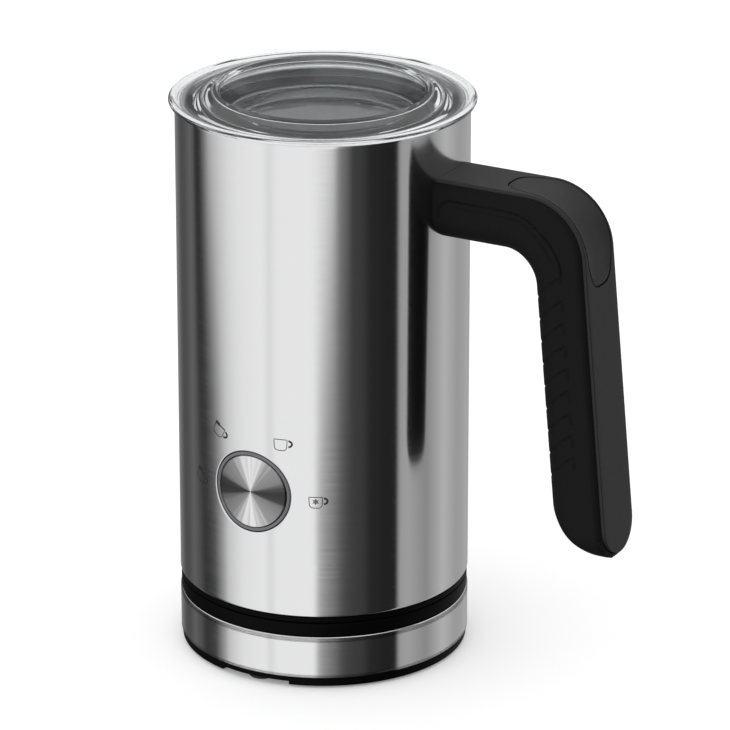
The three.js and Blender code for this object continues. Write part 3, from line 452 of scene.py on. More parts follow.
def pierced_wall(outer, wall, bottom, top, azimuth, level, hole, edges, cells):
    """A cylinder wall with a round hole bored straight in, from a square patch of rings about the hole.
    edges are the profiles that close its top and its foot."""
    mesh = bmesh.new()
    edge = bpy.context.scene.frother_sizes.edge / MM
    step, half = 2 * math.pi / AROUND, cells // 2
    reach = half * step * outer
    columns = [azimuth + (i - AROUND // 2) * step for i in range(AROUND)]
    low, high = level - reach, level + reach
    below = max(1, round((low - bottom) / ROW))
    above = max(1, round((top - high) / ROW))
    lower = [bottom, *(bottom + SUPPORT + (low - bottom - SUPPORT) * i / below for i in range(below + 1))]
    higher = [*(high + (top - SUPPORT - high) * i / above for i in range(above + 1)), top]
    beside = [low + 2 * reach * i / cells for i in range(cells + 1)]
    corners = [(-reach, -reach), (reach, -reach), (reach, reach), (-reach, reach)]
    square = [(a[0] + (b[0] - a[0]) * i / cells, a[1] + (b[1] - a[1]) * i / cells)
              for a, b in zip(corners, corners[1:] + corners[:1]) for i in range(cells)]
    turns = [math.atan2(v, u) for u, v in square]

    def at(angle, radius, z):
        return (radius * math.cos(angle), radius * math.sin(angle), z)

    def skin(radius, rounding):
        for levels in (lower, higher):
            add_grid(mesh, [[at(a, radius, z) for a in columns] for z in levels], closed=True)
        far = columns[AROUND // 2 + half:] + [a + 2 * math.pi for a in columns[:AROUND // 2 - half + 1]]
        add_grid(mesh, [[at(a, radius, z) for a in far] for z in beside])
        rings = []
        for k in range(RINGS + 1):
            ring = []
            for corner, turn in zip(square, turns):
                x, z = (hole + rounding) * math.cos(turn), (hole + rounding) * math.sin(turn)
                p = Vector((outer * math.asin(x / outer), z)).lerp(Vector(corner), (k / RINGS) ** 1.4)
                ring.append(at(azimuth + p.x / outer, radius, level + p.y))
            rings.append(ring)
        add_grid(mesh, rings, closed=True)

    skin(outer, edge)
    skin(outer - wall, 0)
    # (distance from the hole's axis, radius, radius at which the skin was measured round)
    bore = []
    for a in [k * math.pi / 8 for k in range(5)]:
        radius = outer - edge * (1 - math.cos(a))
        bore.append((hole + edge * (1 - math.sin(a)), radius, radius))
    bore.append((hole, outer - wall, outer))
    add_grid(mesh, [[at(azimuth + math.asin(rho * math.cos(turn) / base), radius,
                        level + rho * math.sin(turn))
                     for turn in turns] for rho, radius, base in bore], closed=True)
    for profile in edges:
        add_grid(mesh, [[at(a, r, z) for a in columns] for r, z in profile], closed=True)
    return mesh


# ---------- the handle's own shape ----------
LEAN = math.radians(5.4)
OUTER_BEND, INNER_BEND = 22.0, 11.0
THICKNESS, BELLY = 22.5, 10.0
REAR = THICKNESS - BELLY  # depth at which the rounded belly starts
COVER_DEPTH = 2.4
SHOULDER = COVER_DEPTH + GAP
HANDLE_TOP, HANDLE_TIP = COVER.top, GRIP.bottom
COVER_TIP = COVER.bottom - GRIP.bottom
BACK_TOP = COVER.high.x - (HANDLE_TOP - HANDLE_TIP) * math.tan(LEAN)
ROOT_RADIUS = SHELL.radius + 0.03
TURN = math.pi / 2 - LEAN
TIP_RISE, TIP_ROUND = 20.0, 11.0
GRIP_HALF, COVER_HALF = GRIP.high.y, COVER.high.y


def back_line(level, depth):
    """x of the line that lies so deep under the grip's back."""
    return BACK_TOP + (HANDLE_TOP - level) * math.tan(LEAN) - depth / math.cos(LEAN)


def bend_at(depth):
    """Bend radius of the line at a depth under the outer face."""
    if depth <= SHOULDER:
        return OUTER_BEND - depth
    if depth <= REAR:
        share = (depth - SHOULDER) / (REAR - SHOULDER)
        return (OUTER_BEND - SHOULDER) * (1 - share) + (INNER_BEND + BELLY) * share
    return INNER_BEND + THICKNESS - depth


def handle_point(station, depth, root_x=0.0):
    """x and z in the handle's middle plane: station 0 to 1 is the arm, 1 to 2 the bend, 2 to 3 the grip."""
    bend = bend_at(depth)
    level = HANDLE_TOP - depth
    centre_x = back_line(level, depth) - bend * math.tan(TURN / 2)
    centre_z = level - bend
    if station <= 1:
        return root_x + (centre_x - root_x) * station, level
    if station <= 2:
        a = math.pi / 2 - TURN * (station - 1)
        return centre_x + bend * math.cos(a), centre_z + bend * math.sin(a)
    start = centre_z + bend * math.sin(LEAN)
    z = start + (HANDLE_TIP - start) * (station - 2)
    return back_line(z, depth), z


def stations(arm, bend, grip, end=1.0):
    """Rows along the handle, closer together near the tip; end is the share of the grip that they reach."""
    even = 0.7  # share of the grip with evenly spaced rows
    made = [i / arm for i in range(arm)] + [1 + i / bend for i in range(bend)]
    for i in range(grip + 1):
        t = i / grip
        if t >= even:
            t = even + (1 - even) * math.sin((t - even) / (1 - even) * math.pi / 2)
        made.append(2 + end * t)
    return made


def oval_share(height, reach):
    """Half-width of an oval end, as a share, at a height above its tip."""
    if height >= reach:
        return 1.0
    return math.sqrt(max(0.0, 1 - ((reach - max(0.0, height)) / reach) ** 2))


def sweep_handle(mesh, section, rows, carve_point):
    """Sweeps a closed section of (depth, side, tag) points along the handle."""
    grid = []
    for station in rows:
        height = handle_point(station, 0)[1] - HANDLE_TIP
        row = []
        for depth, side, tag in section:
            d, y = carve_point(station, height, depth, side, tag)
            root_x = math.sqrt(ROOT_RADIUS ** 2 - y * y)
            x, z = handle_point(station, d, root_x)
            row.append((x, y, z))
        grid.append(row)
    add_grid(mesh, grid, closed=True)
    for row in (grid[0], grid[-1]):
        half = len(row) // 2
        add_grid(mesh, [row[:half], row[:half - 1:-1][:half]])


# line moulded in each side of the arm: (out from the shell, down from the arm's top)
PANEL_LINE = [(2.2, 14.4), (2.0, 10.0), (5.2, 6.8), (9.8, 6.6), (19, 6.7), (27, 6.8), (32.6, 8.0),
              (38.3, 11.8), (42.9, 16.3), (45.8, 21.2), (46.8, 25.3), (46.5, 28.0)]
PANEL_INNER_LINE = [(8.0, 8.6), (14.0, 8.7), (24.0, 8.8), (31.0, 9.7), (36.0, 12.9), (40.6, 17.6),
                    (43.2, 21.6)]


def smooth_line(points, steps=14):
    """A Catmull-Rom curve through points in the handle's plane."""
    pts = [Vector((SHELL.radius + out, HANDLE_TOP - down)) for out, down in points]
    pts = [pts[0] * 2 - pts[1], *pts, pts[-1] * 2 - pts[-2]]
    line = []
    for a, b, c, d in zip(pts, pts[1:], pts[2:], pts[3:]):
        for k in range(steps):
            t = k / steps
            line.append(0.5 * (2 * b + (c - a) * t + (2 * a - 5 * b + 4 * c - d) * t ** 2
                               + (3 * b - a - 3 * c + d) * t ** 3))
    return line


def groove_depth(distance, width):
    """How much of a groove's full depth is cut at a distance from its middle line."""
    return math.exp(-(2 * distance / width) ** 2)


LIP_DROP, LIP_FOOT = 1.2, 3.4  # the sloped lip beside the cover, from its crest down to the grip's side
POCKET = COVER_HALF + GAP  # half-width of the seat that the cover lies in
LINE_DEPTHS = (0.6, 0.4)  # of the panel's line and its inner line
RIB_COUNT = 9
RIB_TOP_BELOW = 39.2  # first rib below the arm's top, at the grip's inner crest
RIB_SLOPE = 0.7  # rise of a rib for each millimetre round the grip
RIB_CREST = 3.0  # how far round the crest the rib's foot is rounded
RIB_REACH = 4.0  # how far a rib runs on from the belly over the side
RIB_WIDTH = 0.85
STROKE_BACK = 8.9  # strokes beside the ribs, under the grip's back
STROKE_HALF, STROKE_RISE, STROKE_DEPTH = 2.0, 3.0, 0.4
CREST = (BELLY + GRIP_HALF) / 2  # mean radius of the belly's curve


def grip_section():
    """The grip's outline as (depth, side, tag), from one side of the cover's seat round to the other."""
    half = GRIP_HALF
    right = [(SHOULDER, POCKET, "seat"), (LIP_DROP, POCKET, "brink"), (LIP_DROP + 0.1, POCKET + 0.3, "lip"),
             (LIP_FOOT - 0.5, half - 0.2, "lip")]
    right += [(LIP_FOOT + (REAR - LIP_FOOT) * i / 34, half, "side") for i in range(35)]
    belly = [(REAR + BELLY * math.sin(a), half * math.cos(a), "belly")
             for a in [math.pi * i / 64 for i in range(1, 64)]]
    left = [(d, -y, tag) for d, y, tag in reversed(right)]
    back = [(SHOULDER, y, "seat") for y in (-8.0, -4.0, 0.0, 4.0, 8.0)]
    return right + belly + left + back


def build_grip():
    sizes = bpy.context.scene.frother_sizes
    width, pitch, rib = sizes.groove / MM, sizes.rib_pitch / MM, sizes.rib_depth / MM
    lines = [smooth_line(PANEL_LINE), smooth_line(PANEL_INNER_LINE)]
    first = HANDLE_TOP - RIB_TOP_BELOW

    def line_cut(station, x, z):
        """Depth of the panel's lines at a point of the side."""
        cuts = [0.0]
        if station < 2.15:
            for line, deep in zip(lines, LINE_DEPTHS):
                nearest = min((p - Vector((x, z))).length_squared for p in line)
                if nearest < 4:
                    cuts.append(deep * groove_depth(math.sqrt(nearest), width))
        return max(cuts)

    def rib_cut(z, depth, side, tag):
        """Depth of the ribs, and of the strokes beside them, at a point of the side or belly."""
        if tag == "belly":
            round_way = CREST * math.atan2(abs(side) / GRIP_HALF, (depth - REAR) / BELLY)
        else:
            round_way = CREST * math.pi / 2 + REAR - depth
        cut = 0.0
        rise = RIB_SLOPE * (math.sqrt(round_way ** 2 + RIB_CREST ** 2) - RIB_CREST)
        along = (first - (z - rise)) / pitch
        nearest = round(along)
        if 0 <= nearest < RIB_COUNT:
            fade = min(1.0, max(0.0, CREST * math.pi / 2 + RIB_REACH - round_way))
            cut = rib * fade * groove_depth((along - nearest) * pitch, RIB_WIDTH)
        number = round((first + STROKE_RISE - z) / pitch)
        middle = first + STROKE_RISE - pitch * number
        if tag == "side" and 0 <= number < RIB_COUNT - 1 and abs(z - middle) < STROKE_HALF:
            cut = max(cut, STROKE_DEPTH * groove_depth(depth - STROKE_BACK, width))
        return cut

    def shape(station, height, depth, side, tag):
        x, z = handle_point(station, depth, ROOT_RADIUS)
        inward = line_cut(station, x, z) if tag == "side" else 0.0
        if station > 1.6 and tag in ("side", "belly"):
            inward = max(inward, rib_cut(z, depth, side, tag))
        if tag == "belly":
            depth, side = REAR + (depth - REAR) * (1 - inward / BELLY), side * (1 - inward / GRIP_HALF)
        elif tag == "side":
            side -= math.copysign(inward, side)
        # The belly draws in over the last TIP_RISE; the back rounds off below the cover's end.
        reach = THICKNESS * oval_share(height, TIP_RISE)
        end = oval_share(height, COVER_TIP)
        keep = max(0.0, (reach - SHOULDER) / (THICKNESS - SHOULDER)) if depth > SHOULDER else end
        depth = SHOULDER + (depth - SHOULDER) * keep
        outer = oval_share(height, TIP_ROUND)
        if tag not in ("seat", "brink"):
            return depth, side * outer
        inner = POCKET * oval_share(height - COVER_TIP + GAP, POCKET)
        if inner == 0:
            depth = SHOULDER + (LIP_DROP - SHOULDER) * end
        return depth, side / POCKET * min(inner, POCKET * outer)

    mesh = bmesh.new()
    sweep_handle(mesh, grip_section(), stations(100, 110, 330), shape)
    return new_piece("grip_overmould", mesh, sharp=60)


def build_cover():
    half, deep, edge = COVER_HALF, COVER_DEPTH, 0.45
    section = [(edge * (1 - math.cos(a)), half - edge * (1 - math.sin(a)), "edge")
               for a in [i * math.pi / 10 for i in range(6)]]
    section.append((deep, half, "edge"))
    under = [(deep, y, "under") for y in (6.0, 2.0, -2.0, -6.0)]
    other = [(d, -y, tag) for d, y, tag in reversed(section)]
    face = [(0.0, y, "face") for y in (-8.0, -5.5, -2.75, 0.0, 2.75, 5.5, 8.0)]

    def shape(station, height, depth, side, tag):
        return depth, side * oval_share(height - COVER_TIP, COVER_HALF)

    upright = handle_point(2, 0)[1] - HANDLE_TIP
    mesh = bmesh.new()
    sweep_handle(mesh, section + under + other + face, stations(30, 60, 90, 1 - COVER_TIP / upright), shape)
    return new_piece("handle_back_cover", mesh, sharp=40)


THUMB_HALF_LENGTH, THUMB_HALF_WIDTH = 22.5, THUMB.high.y
THUMB_SQUARENESS = 3.4  # 2 is an ellipse, more has fuller ends
THUMB_TILT = math.pi / 4 + LEAN / 2
BEND_CENTRE = Vector((back_line(HANDLE_TOP, 0) - OUTER_BEND * math.tan(TURN / 2), HANDLE_TOP - OUTER_BEND))


def along_chord(reach, depth):
    """The point at a depth under the outer face that is so far along the thumb oval's long axis."""
    direction = Vector((math.sin(THUMB_TILT), -math.cos(THUMB_TILT)))
    low, high = 0.0, 3.0
    for _ in range(40):  # halvings
        middle = (low + high) / 2
        x, z = handle_point(middle, depth, ROOT_RADIUS)
        if (Vector((x, z)) - BEND_CENTRE).dot(direction) < reach:
            low = middle
        else:
            high = middle
    return handle_point(low, depth, ROOT_RADIUS)


def fuller(value):
    """Turns a circle's sine or cosine into that of an oval with fuller ends."""
    return math.copysign(abs(value) ** (2 / THUMB_SQUARENESS), value)


def thumb_shape(name, grow, levels):
    """An oval plate laid over the bend; levels are (share of the oval, depth under the face)."""
    mesh = bmesh.new()
    rows = []
    for share, depth in levels:
        row = []
        for i in range(240):
            a = 2 * math.pi * i / 240
            reach = (THUMB_HALF_LENGTH + grow) * share * fuller(math.cos(a))
            side = (THUMB_HALF_WIDTH + grow) * share * fuller(math.sin(a))
            x, z = along_chord(reach, depth)
            row.append((x, side, z))
        rows.append(row)
    add_grid(mesh, rows, closed=True)
    return new_piece(name, mesh, sharp=40)


def build_thumb():
    dish = bpy.context.scene.frother_sizes.dish / MM
    rim, bottom = 0.02, 1.75
    levels = [(0.0, rim + dish)]
    for k in range(1, 15):
        share = k / 15
        levels.append((share, rim + dish * (1 - share ** 2.4)))
    levels += [(0.985, rim), (1.0, rim + 0.25), *((k / 15, bottom) for k in range(15, -1, -1))]
    return thumb_shape("thumb_pad", 0, levels)


# ---------- printed symbols ----------
PRINT_STEP = 0.4  # longest straight bit of a printed line
PRINT_PROUD, PRINT_SUNK = 0.03, -0.05  # the print's face and foot, from the steel


def on_jug(u, v, azimuth, level, proud):
    """A printed point: u millimetres round the jug and v up from the symbol's middle."""
    radius = SHELL.radius + proud
    angle = FRONT + azimuth + u / SHELL.radius
    return (radius * math.cos(angle), radius * math.sin(angle), level + v)


def finer(line, closed):
    """The same line with its points no further apart than PRINT_STEP, so that it can follow the jug."""
    points = [Vector(p) for p in line]
    ends = points[1:] + points[:1] if closed else points[1:]
    made = []
    for start, end in zip(points, ends):
        parts = max(1, math.ceil((end - start).length / PRINT_STEP))
        made += [start.lerp(end, k / parts) for k in range(parts)]
    return made if closed else [*made, points[-1]]


def add_stroke(mesh, line, width, to_jug, closed=False):
    """A raised printed line along points, with square ends."""
    line = finer(line, closed)
    count = len(line)
    lefts, rights = [], []
    for i, p in enumerate(line):
        before = line[i - 1] if i or closed else p
        after = line[(i + 1) % count] if i < count - 1 or closed else p
        way = (after - before).normalized()
        side = Vector((-way.y, way.x)) * width / 2
        lefts.append(p + side)
        rights.append(p - side)
    loop = [[to_jug(p, proud) for p in edge] for edge, proud in (
        (lefts, PRINT_SUNK), (lefts, PRINT_PROUD), (rights, PRINT_PROUD), (rights, PRINT_SUNK))]
    if closed:
        loop = [[*row, row[0]] for row in loop]
    add_grid(mesh, [*loop, loop[0]])
    if not closed:
        for end in (0, -1):
            add_grid(mesh, [[loop[0][end], loop[1][end]], [loop[3][end], loop[2][end]]])


def arc(centre, radii, start, end, steps=12):
    return [(centre[0] + radii[0] * math.cos(math.radians(start + (end - start) * i / steps)),
             centre[1] + radii[1] * math.sin(math.radians(start + (end - start) * i / steps)))
            for i in range(steps + 1)]


CUP_BODY = [(-3.1, 1.9), (1.5, 1.9), (1.45, 0.2), *arc((0.0, -0.6), (1.4, 1.4), 10, -90),
            *arc((-1.6, -0.6), (1.4, 1.4), -90, -190), (-3.05, 0.2)]
CUP_HANDLE = arc((1.7, 0.5), (1.5, 1.1), 80, -80)


def flake_point(along, aside, angle):
    """A point of the snowflake: so far out along a ray, and so far to its side."""
    return (-0.8 + along * math.cos(angle) - aside * math.sin(angle),
            0.25 + along * math.sin(angle) + aside * math.cos(angle))


RAYS = [math.pi / 2 + i * math.pi / 3 for i in range(6)]
SNOWFLAKE = [[flake_point(1.15, 0, a), flake_point(-1.15, 0, a)] for a in (math.pi / 2, math.pi / 6,
                                                                           -math.pi / 6)]
SNOWFLAKE += [[flake_point(0.62, 0.3, a), flake_point(0.62, -0.3, a)] for a in RAYS]
# name: (azimuth from the front, level above the shell's edge, tilt, thick top, snowflake)
SYMBOLS = {
    "cup_tilted_low": (-26.1, 42.6, -28, True, False),
    "cup_tilted_high": (-14.6, 62.2, -28, True, False),
    "cup_upright": (13.8, 62.15, 0, False, False),
    "cup_cold": (27.5, 42.05, 0, False, True),
}


def build_symbol(name):
    azimuth, rise, tilt, topped, cold = SYMBOLS[name]
    line = bpy.context.scene.frother_sizes.line / MM
    turn = math.radians(tilt)
    azimuth, level = math.radians(azimuth), SHELL.bottom + rise

    def to_jug(p, proud):
        u = p.x * math.cos(turn) - p.y * math.sin(turn)
        v = p.x * math.sin(turn) + p.y * math.cos(turn)
        return on_jug(u, v, azimuth, level, proud)

    mesh = bmesh.new()
    add_stroke(mesh, CUP_BODY, line * 0.65, to_jug, closed=True)
    add_stroke(mesh, CUP_HANDLE, line * 1.7, to_jug)
    if topped:
        add_stroke(mesh, [(-3.3, 2.2), (-1.3, 2.0)], line * 2.8, to_jug)
        add_stroke(mesh, [(-1.5, 2.0), (1.5, 2.0)], line, to_jug)
    if cold:
        for flake in SNOWFLAKE:
            add_stroke(mesh, flake, line * 0.6, to_jug)
    return new_piece(name, mesh)


# ---------- operators ----------
class FROTHER_OT_stage(bpy.types.Operator):
    """Camera, studio surroundings and floor"""
    bl_idname = "frother.stage"
    bl_label = "Studio"

    AIM = (-0.0191, 0.0053, -0.0004)  # the camera's aim from the middle of the object's box, in metres
    AZIMUTH, ELEVATION, DISTANCE, LENS = 29.28, 20.695, 1.6719, 239.93
    # (azimuth from the front in degrees, grey) that the upright steel sees
    SURROUND = [
        (-180, "#aaaaaa"), (-150, "#949494"), (-130, "#707070"), (-117, "#505050"), (-108, "#525252"),
        (-97, "#686868"), (-91, "#5c5c5c"), (-87, "#343434"), (-78, "#303030"), (-74, "#5c5c5c"),
        (-69, "#868686"), (-65, "#a0a0a0"), (-60, "#d2d2d2"), (-52, "#e4e4e4"), (-41, "#f8f8f8"),
        (-19, "#ffffff"), (-13, "#eeeeee"), (-7, "#ffffff"), (28, "#ffffff"), (30, "#f2f2f2"),
        (34, "#a8a8a8"), (38, "#8c8c8c"), (46, "#6c6c6c"), (51, "#444444"), (61, "#3e3e3e"),
        (66, "#2c2c2c"), (89, "#1e1e1e"), (92, "#a8a8a8"), (100, "#b0b0b0"), (119, "#969696"),
        (140, "#c2c2c2"), (160, "#a6a6a6"),
    ]
    # elevations between which the surround turns into a grey: light overhead, dark on the ground, so that
    # black undersides stay black
    OVERHEAD, GROUND = (12, 42, "#e9e9e9"), (-55, -75, "#202020")
    # the bright panel's middle, the elevation at which it has its full width, and its change per degree lower
    NARROWING = (-18.0, -20.0, 0.08)
    MOST = 0.2  # most that the panel is narrowed or widened
    PANEL_REACH = (52, 74)  # degrees from its middle between which the narrowing fades out
    STRENGTH = 1.3

    def execute(self, context):
        scene = context.scene
        middle = (CAD_BOX[0] + CAD_BOX[1]) / 2
        azimuth, elevation = math.radians(self.AZIMUTH), math.radians(self.ELEVATION)
        back = Vector((math.sin(azimuth) * math.cos(elevation), -math.cos(azimuth) * math.cos(elevation),
                       math.sin(elevation)))
        lens = bpy.data.cameras.new("camera")
        lens.lens = self.LENS
        lens.sensor_width = 36
        lens.clip_start, lens.clip_end = 0.05, 50
        camera = bpy.data.objects.new("camera", lens)
        camera.location = middle + Vector(self.AIM) + back * self.DISTANCE
        camera.rotation_euler = (-back).to_track_quat("-Z", "Y").to_euler()
        scene.collection.objects.link(camera)
        scene.camera = camera
        scene.view_settings.view_transform = "Standard"
        self.light(scene)
        self.floor()
        return {"FINISHED"}

    def light(self, scene):
        """A soft white studio: a wide bright panel in front and to the left, dark flags at the sides."""
        scene.world = bpy.data.worlds.new("studio")
        scene.world.use_nodes = True
        tree = scene.world.node_tree
        tree.nodes.clear()
        way = add_node(tree, "SeparateXYZ", {0: add_node(tree, "TexCoord").outputs["Generated"]})
        flipped = add_node(tree, "Math", {0: way.outputs["Y"], 1: -1.0}, operation="MULTIPLY")
        angle = add_node(tree, "Math", {0: way.outputs["X"], 1: flipped}, operation="ARCTAN2")
        height = add_node(tree, "Math", {0: way.outputs["Z"]}, operation="ARCSINE")
        narrowed = self.narrowed(tree, angle, height)
        share = add_node(tree, "MapRange", {"Value": narrowed, "From Min": -math.pi, "From Max": math.pi})
        ramp = add_node(tree, "ValToRGB", {"Fac": share})
        set_greys(ramp.color_ramp, [((degrees + 180) / 360, grey) for degrees, grey in self.SURROUND])
        colour = ramp.outputs[0]
        for start, end, grey in (self.OVERHEAD, self.GROUND):
            blend = add_node(
                tree, "MapRange", {"Value": height, "From Min": math.radians(start),
                                   "From Max": math.radians(end)},
                interpolation_type="SMOOTHSTEP")
            colour = add_node(tree, "Mix", {0: blend, 6: colour, 7: linear(grey)},
                              data_type="RGBA").outputs[2]
        background = add_node(tree, "Background", {"Color": colour, "Strength": self.STRENGTH})
        add_node(tree, "OutputWorld", {"Surface": background})

    def narrowed(self, tree, angle, height):
        """The angle to look up: the bright panel in front is narrower lower down, the rest stays."""
        centre, level, rate = self.NARROWING
        inside, outside = self.PANEL_REACH
        lower = add_node(tree, "Math", {0: math.radians(level), 1: height}, operation="SUBTRACT")
        factor = add_node(tree, "Math", {0: lower, 1: math.degrees(rate)}, operation="MULTIPLY")
        held = add_node(tree, "Clamp", {"Value": factor, "Min": -self.MOST, "Max": self.MOST})
        away = add_node(tree, "Math", {0: angle, 1: math.radians(centre)}, operation="SUBTRACT")
        size = add_node(tree, "Math", {0: away}, operation="ABSOLUTE")
        near = add_node(
            tree, "MapRange", {"Value": size, "From Min": math.radians(inside),
                               "From Max": math.radians(outside),
                               "To Min": 1.0, "To Max": 0.0})
        faded = add_node(tree, "Math", {0: held, 1: near}, operation="MULTIPLY")
        return add_node(tree, "Math", {0: away, 1: faded, 2: angle}, operation="MULTIPLY_ADD")

    def floor(self):
        """A floor that sweeps up into a backdrop all round."""
        flat, bend, top = 2200, 800, 3200
        profile = [(0, 0), (300, 0), (900, 0), (flat, 0)]
        profile += [(flat + bend * math.sin(a), bend - bend * math.cos(a))
                    for a in [i * math.pi / 32 for i in range(1, 17)]]
        profile += [(flat + bend, 1500), (flat + bend, top)]
        mesh = bmesh.new()
        turns = [2 * math.pi * i / 128 for i in range(128)]
        add_grid(mesh, [[(r * math.cos(a), r * math.sin(a), z) for a in turns] for r, z in profile],
                 closed=True)
        sweep = new_piece("studio_floor", mesh)
        sweep.data.materials.append(finish("painted_studio_floor"))
        # Only the camera sees the floor: it must not screen the surround.
        for way in ("glossy", "diffuse", "shadow"):
            setattr(sweep, f"visible_{way}", False)


class FROTHER_OT_base(bpy.types.Operator):
    """Powered base: feet, covers, steel band, cord bush and screws"""
    bl_idname = "frother.base"
    bl_label = "Base"

    def execute(self, context):
        self.feet()
        self.skirt()
        self.band()
        self.top()
        self.gland()
        self.screws()
        return {"FINISHED"}

    def feet(self):
        for i in range(1, 5):
            node = f"base_foot_{i}"
            foot = place(node)
            radius = (foot.high.x - foot.low.x) / 2
            corners = [(0, 0.5, 0), (1.6, 0.5, 0.2), (1.9, 0, 0.2), (radius - 0.7, 0, 0.5),
                       (radius, 0.9, 0.3), (radius, foot.top, 0.3), (0, foot.top, 0)]
            piece = turned_piece(f"rubber_foot_{i}", corners, 64, axis_at=foot.middle.xy)
            dress(piece, "matt_rubber", "base", node)

    def skirt(self):
        radius, bottom, top = SKIRT.radius, SKIRT.bottom, BAND.bottom - 0.3
        plate = bottom + 1.4
        corners = [
            (0, bottom, 0), (20, bottom, 0.5), (20, plate, 0.2), (radius - 3, plate, 0.2),
            (radius - 3, bottom, 0.3), (radius, bottom, 0.6), (radius, top, 0.3), (radius - 3, top, 0),
            (radius - 3, plate + 2, 0), (0, plate + 2, 0)]
        body = turned_piece("bottom_cover", corners, 256)
        cutters = []
        for i in range(1, 4):
            screw = place(f"base_screw_{i}")
            cutters.append(rod_cutter(3.3, bottom - 1, plate + 0.6, screw.middle.xy))
            cutters.append(rod_cutter(1.9, bottom, plate + 4, screw.middle.xy))
        for i in range(1, 5):
            cutters.append(rod_cutter(5.25, bottom - 1, plate + 0.9, place(f"base_foot_{i}").middle.xy, 64))
        cutters.append(self.notch(radius, bottom, plate))
        carve(body, cutters)
        dress(body, "moulded_black_abs", "base", "base_bottom_cover")

    def notch(self, radius, bottom, plate):
        """The gap in the skirt at the front, where a hand lifts the base."""
        half = math.radians(15.5)
        angles = [FRONT - half + 2 * half * i / 24 for i in range(25)]
        rows = []
        for reach, level in ((24.0, bottom - 1), (radius + 2, bottom - 1), (radius + 2, plate),
                             (24.0, plate)):
            rows.append([(reach * math.cos(a), reach * math.sin(a), level) for a in angles])
        mesh = bmesh.new()
        add_grid(mesh, [*rows, rows[0]])
        for end in (0, -1):
            add_grid(mesh, [[rows[0][end], rows[1][end]], [rows[3][end], rows[2][end]]])
        return new_piece("cutter", mesh)

    def band(self):
        outer, wall = BAND.radius, 0.6
        bottom, top, curve = BAND.bottom, BAND.top, 1.4
        lip, low = outer - 2.2, bottom + 0.25
        profile = rounded([
            (outer, top - curve, 0), (outer, top, 0.8), (lip, top, 0), (lip, top - wall, 0),
            (outer - wall, top - wall, 0), (outer - wall, top - curve, 0)])
        foot = [(outer - wall, low), (outer - wall + 0.1, bottom), (outer - 0.2, bottom), (outer, low)]
        mesh = pierced_wall(
            outer, wall, low, top - curve, math.pi / 2, GLAND.middle.z, CORD_HOLE, (profile, foot), cells=12)
        dress(new_piece("steel_band", mesh, sharp=50), "brushed_stainless", "base", "base_band")

    def top(self):
        rim, top = RIM.radius, RIM.top
        wall = BAND.radius - 0.9
        lip = BAND.radius - 2.5
        socket = 11.3
        corners = [
            (socket, top - 4, 0), (wall - 2, top - 4, 0), (wall - 2, BAND.bottom + 0.6, 0),
            (wall, BAND.bottom + 0.6, 0), (wall, BAND.top - 0.9, 0), (lip, BAND.top - 0.9, 0),
            (lip, BAND.top + 0.3, 0), (rim, BAND.top + 0.3, 0.25), (rim, top, 0.6), (rim - 6, top, 0.5),
            (rim - 7, top - 1, 0.5), (socket + 1.4, top - 1, 0.3), (socket + 1.0, top - 0.8, 0.2),
            (socket, top - 0.8, 0.2)]
        body = turned_piece("top_cover", corners, 256)
        hole = rod_cutter(CORD_HOLE, BAND.radius - 6, BAND.radius + 2, (0, 0), 48)
        turned_about_y(hole, GLAND.middle.z)
        carve(body, [hole])
        dress(body, "moulded_black_abs", "base", "base_top_cover")

    def gland(self):
        """The cord's bush: a flange and a ribbed, tapered sleeve."""
        start, end = GLAND.low.y, GLAND.high.y
        face = BAND.radius + 0.3
        corners = [(0, start, 0), (3.9, start, 0), (3.9, face, 0), (5.4, face, 0), (5.4, face + 1.5, 0.5)]
        for i in range(3):
            level = face + 1.5 + i * 1.25
            radius = 3.85 - 0.2 * i
            corners += [(radius - 0.5, level + 0.1, 0), (radius - 0.5, level + 0.45, 0),
                        (radius, level + 0.5, 0.12), (radius, level + 1.15, 0.12)]
        corners += [(3.2, end, 0.3), (2.3, end, 0.2), (2.3, face - 4, 0), (0, face - 4, 0)]
        bush = turned_piece("cord_bush", corners, 64)
        turned_about_y(bush, GLAND.middle.z)
        dress(bush, "matt_rubber", "base", "cord_gland")

    def screws(self):
        for i in range(1, 4):
            node = f"base_screw_{i}"
            dress(screw_piece(f"cover_screw_{i}", node), "satin_steel", "base", node)


def screw_piece(name, node):
    """A pan-head screw, head down, with a cross recess and a threaded shank."""
    box = place(node)
    head = (box.high.x - box.low.x) / 2
    bottom, top = box.bottom, box.top
    height = 1.5
    corners = [(0, bottom, 0), (head, bottom, 0.5), (head, bottom + height, 0.1), (1.5, bottom + height, 0)]
    level = bottom + height + 0.5
    while level < top - 1.0:
        corners += [(1.25, level, 0), (1.58, level + 0.3, 0), (1.25, level + 0.6, 0)]
        level += 0.7
    corners += [(0.6, top, 0.1), (0, top, 0)]
    piece = turned_piece(name, corners, 40, axis_at=box.middle.xy)
    cutters = []
    for wide, deep in ((1.9, 0.35), (0.35, 1.9)):
        mesh = bmesh.new()
        bmesh.ops.create_cube(mesh, size=1)
        bmesh.ops.scale(mesh, verts=mesh.verts, vec=(2 * wide * MM, 2 * deep * MM, 2 * MM))
        bmesh.ops.translate(mesh, verts=mesh.verts, vec=Vector((box.middle.x, box.middle.y, bottom)) * MM)
        cutters.append(new_piece("cutter", mesh))
    carve(piece, cutters)
    return piece


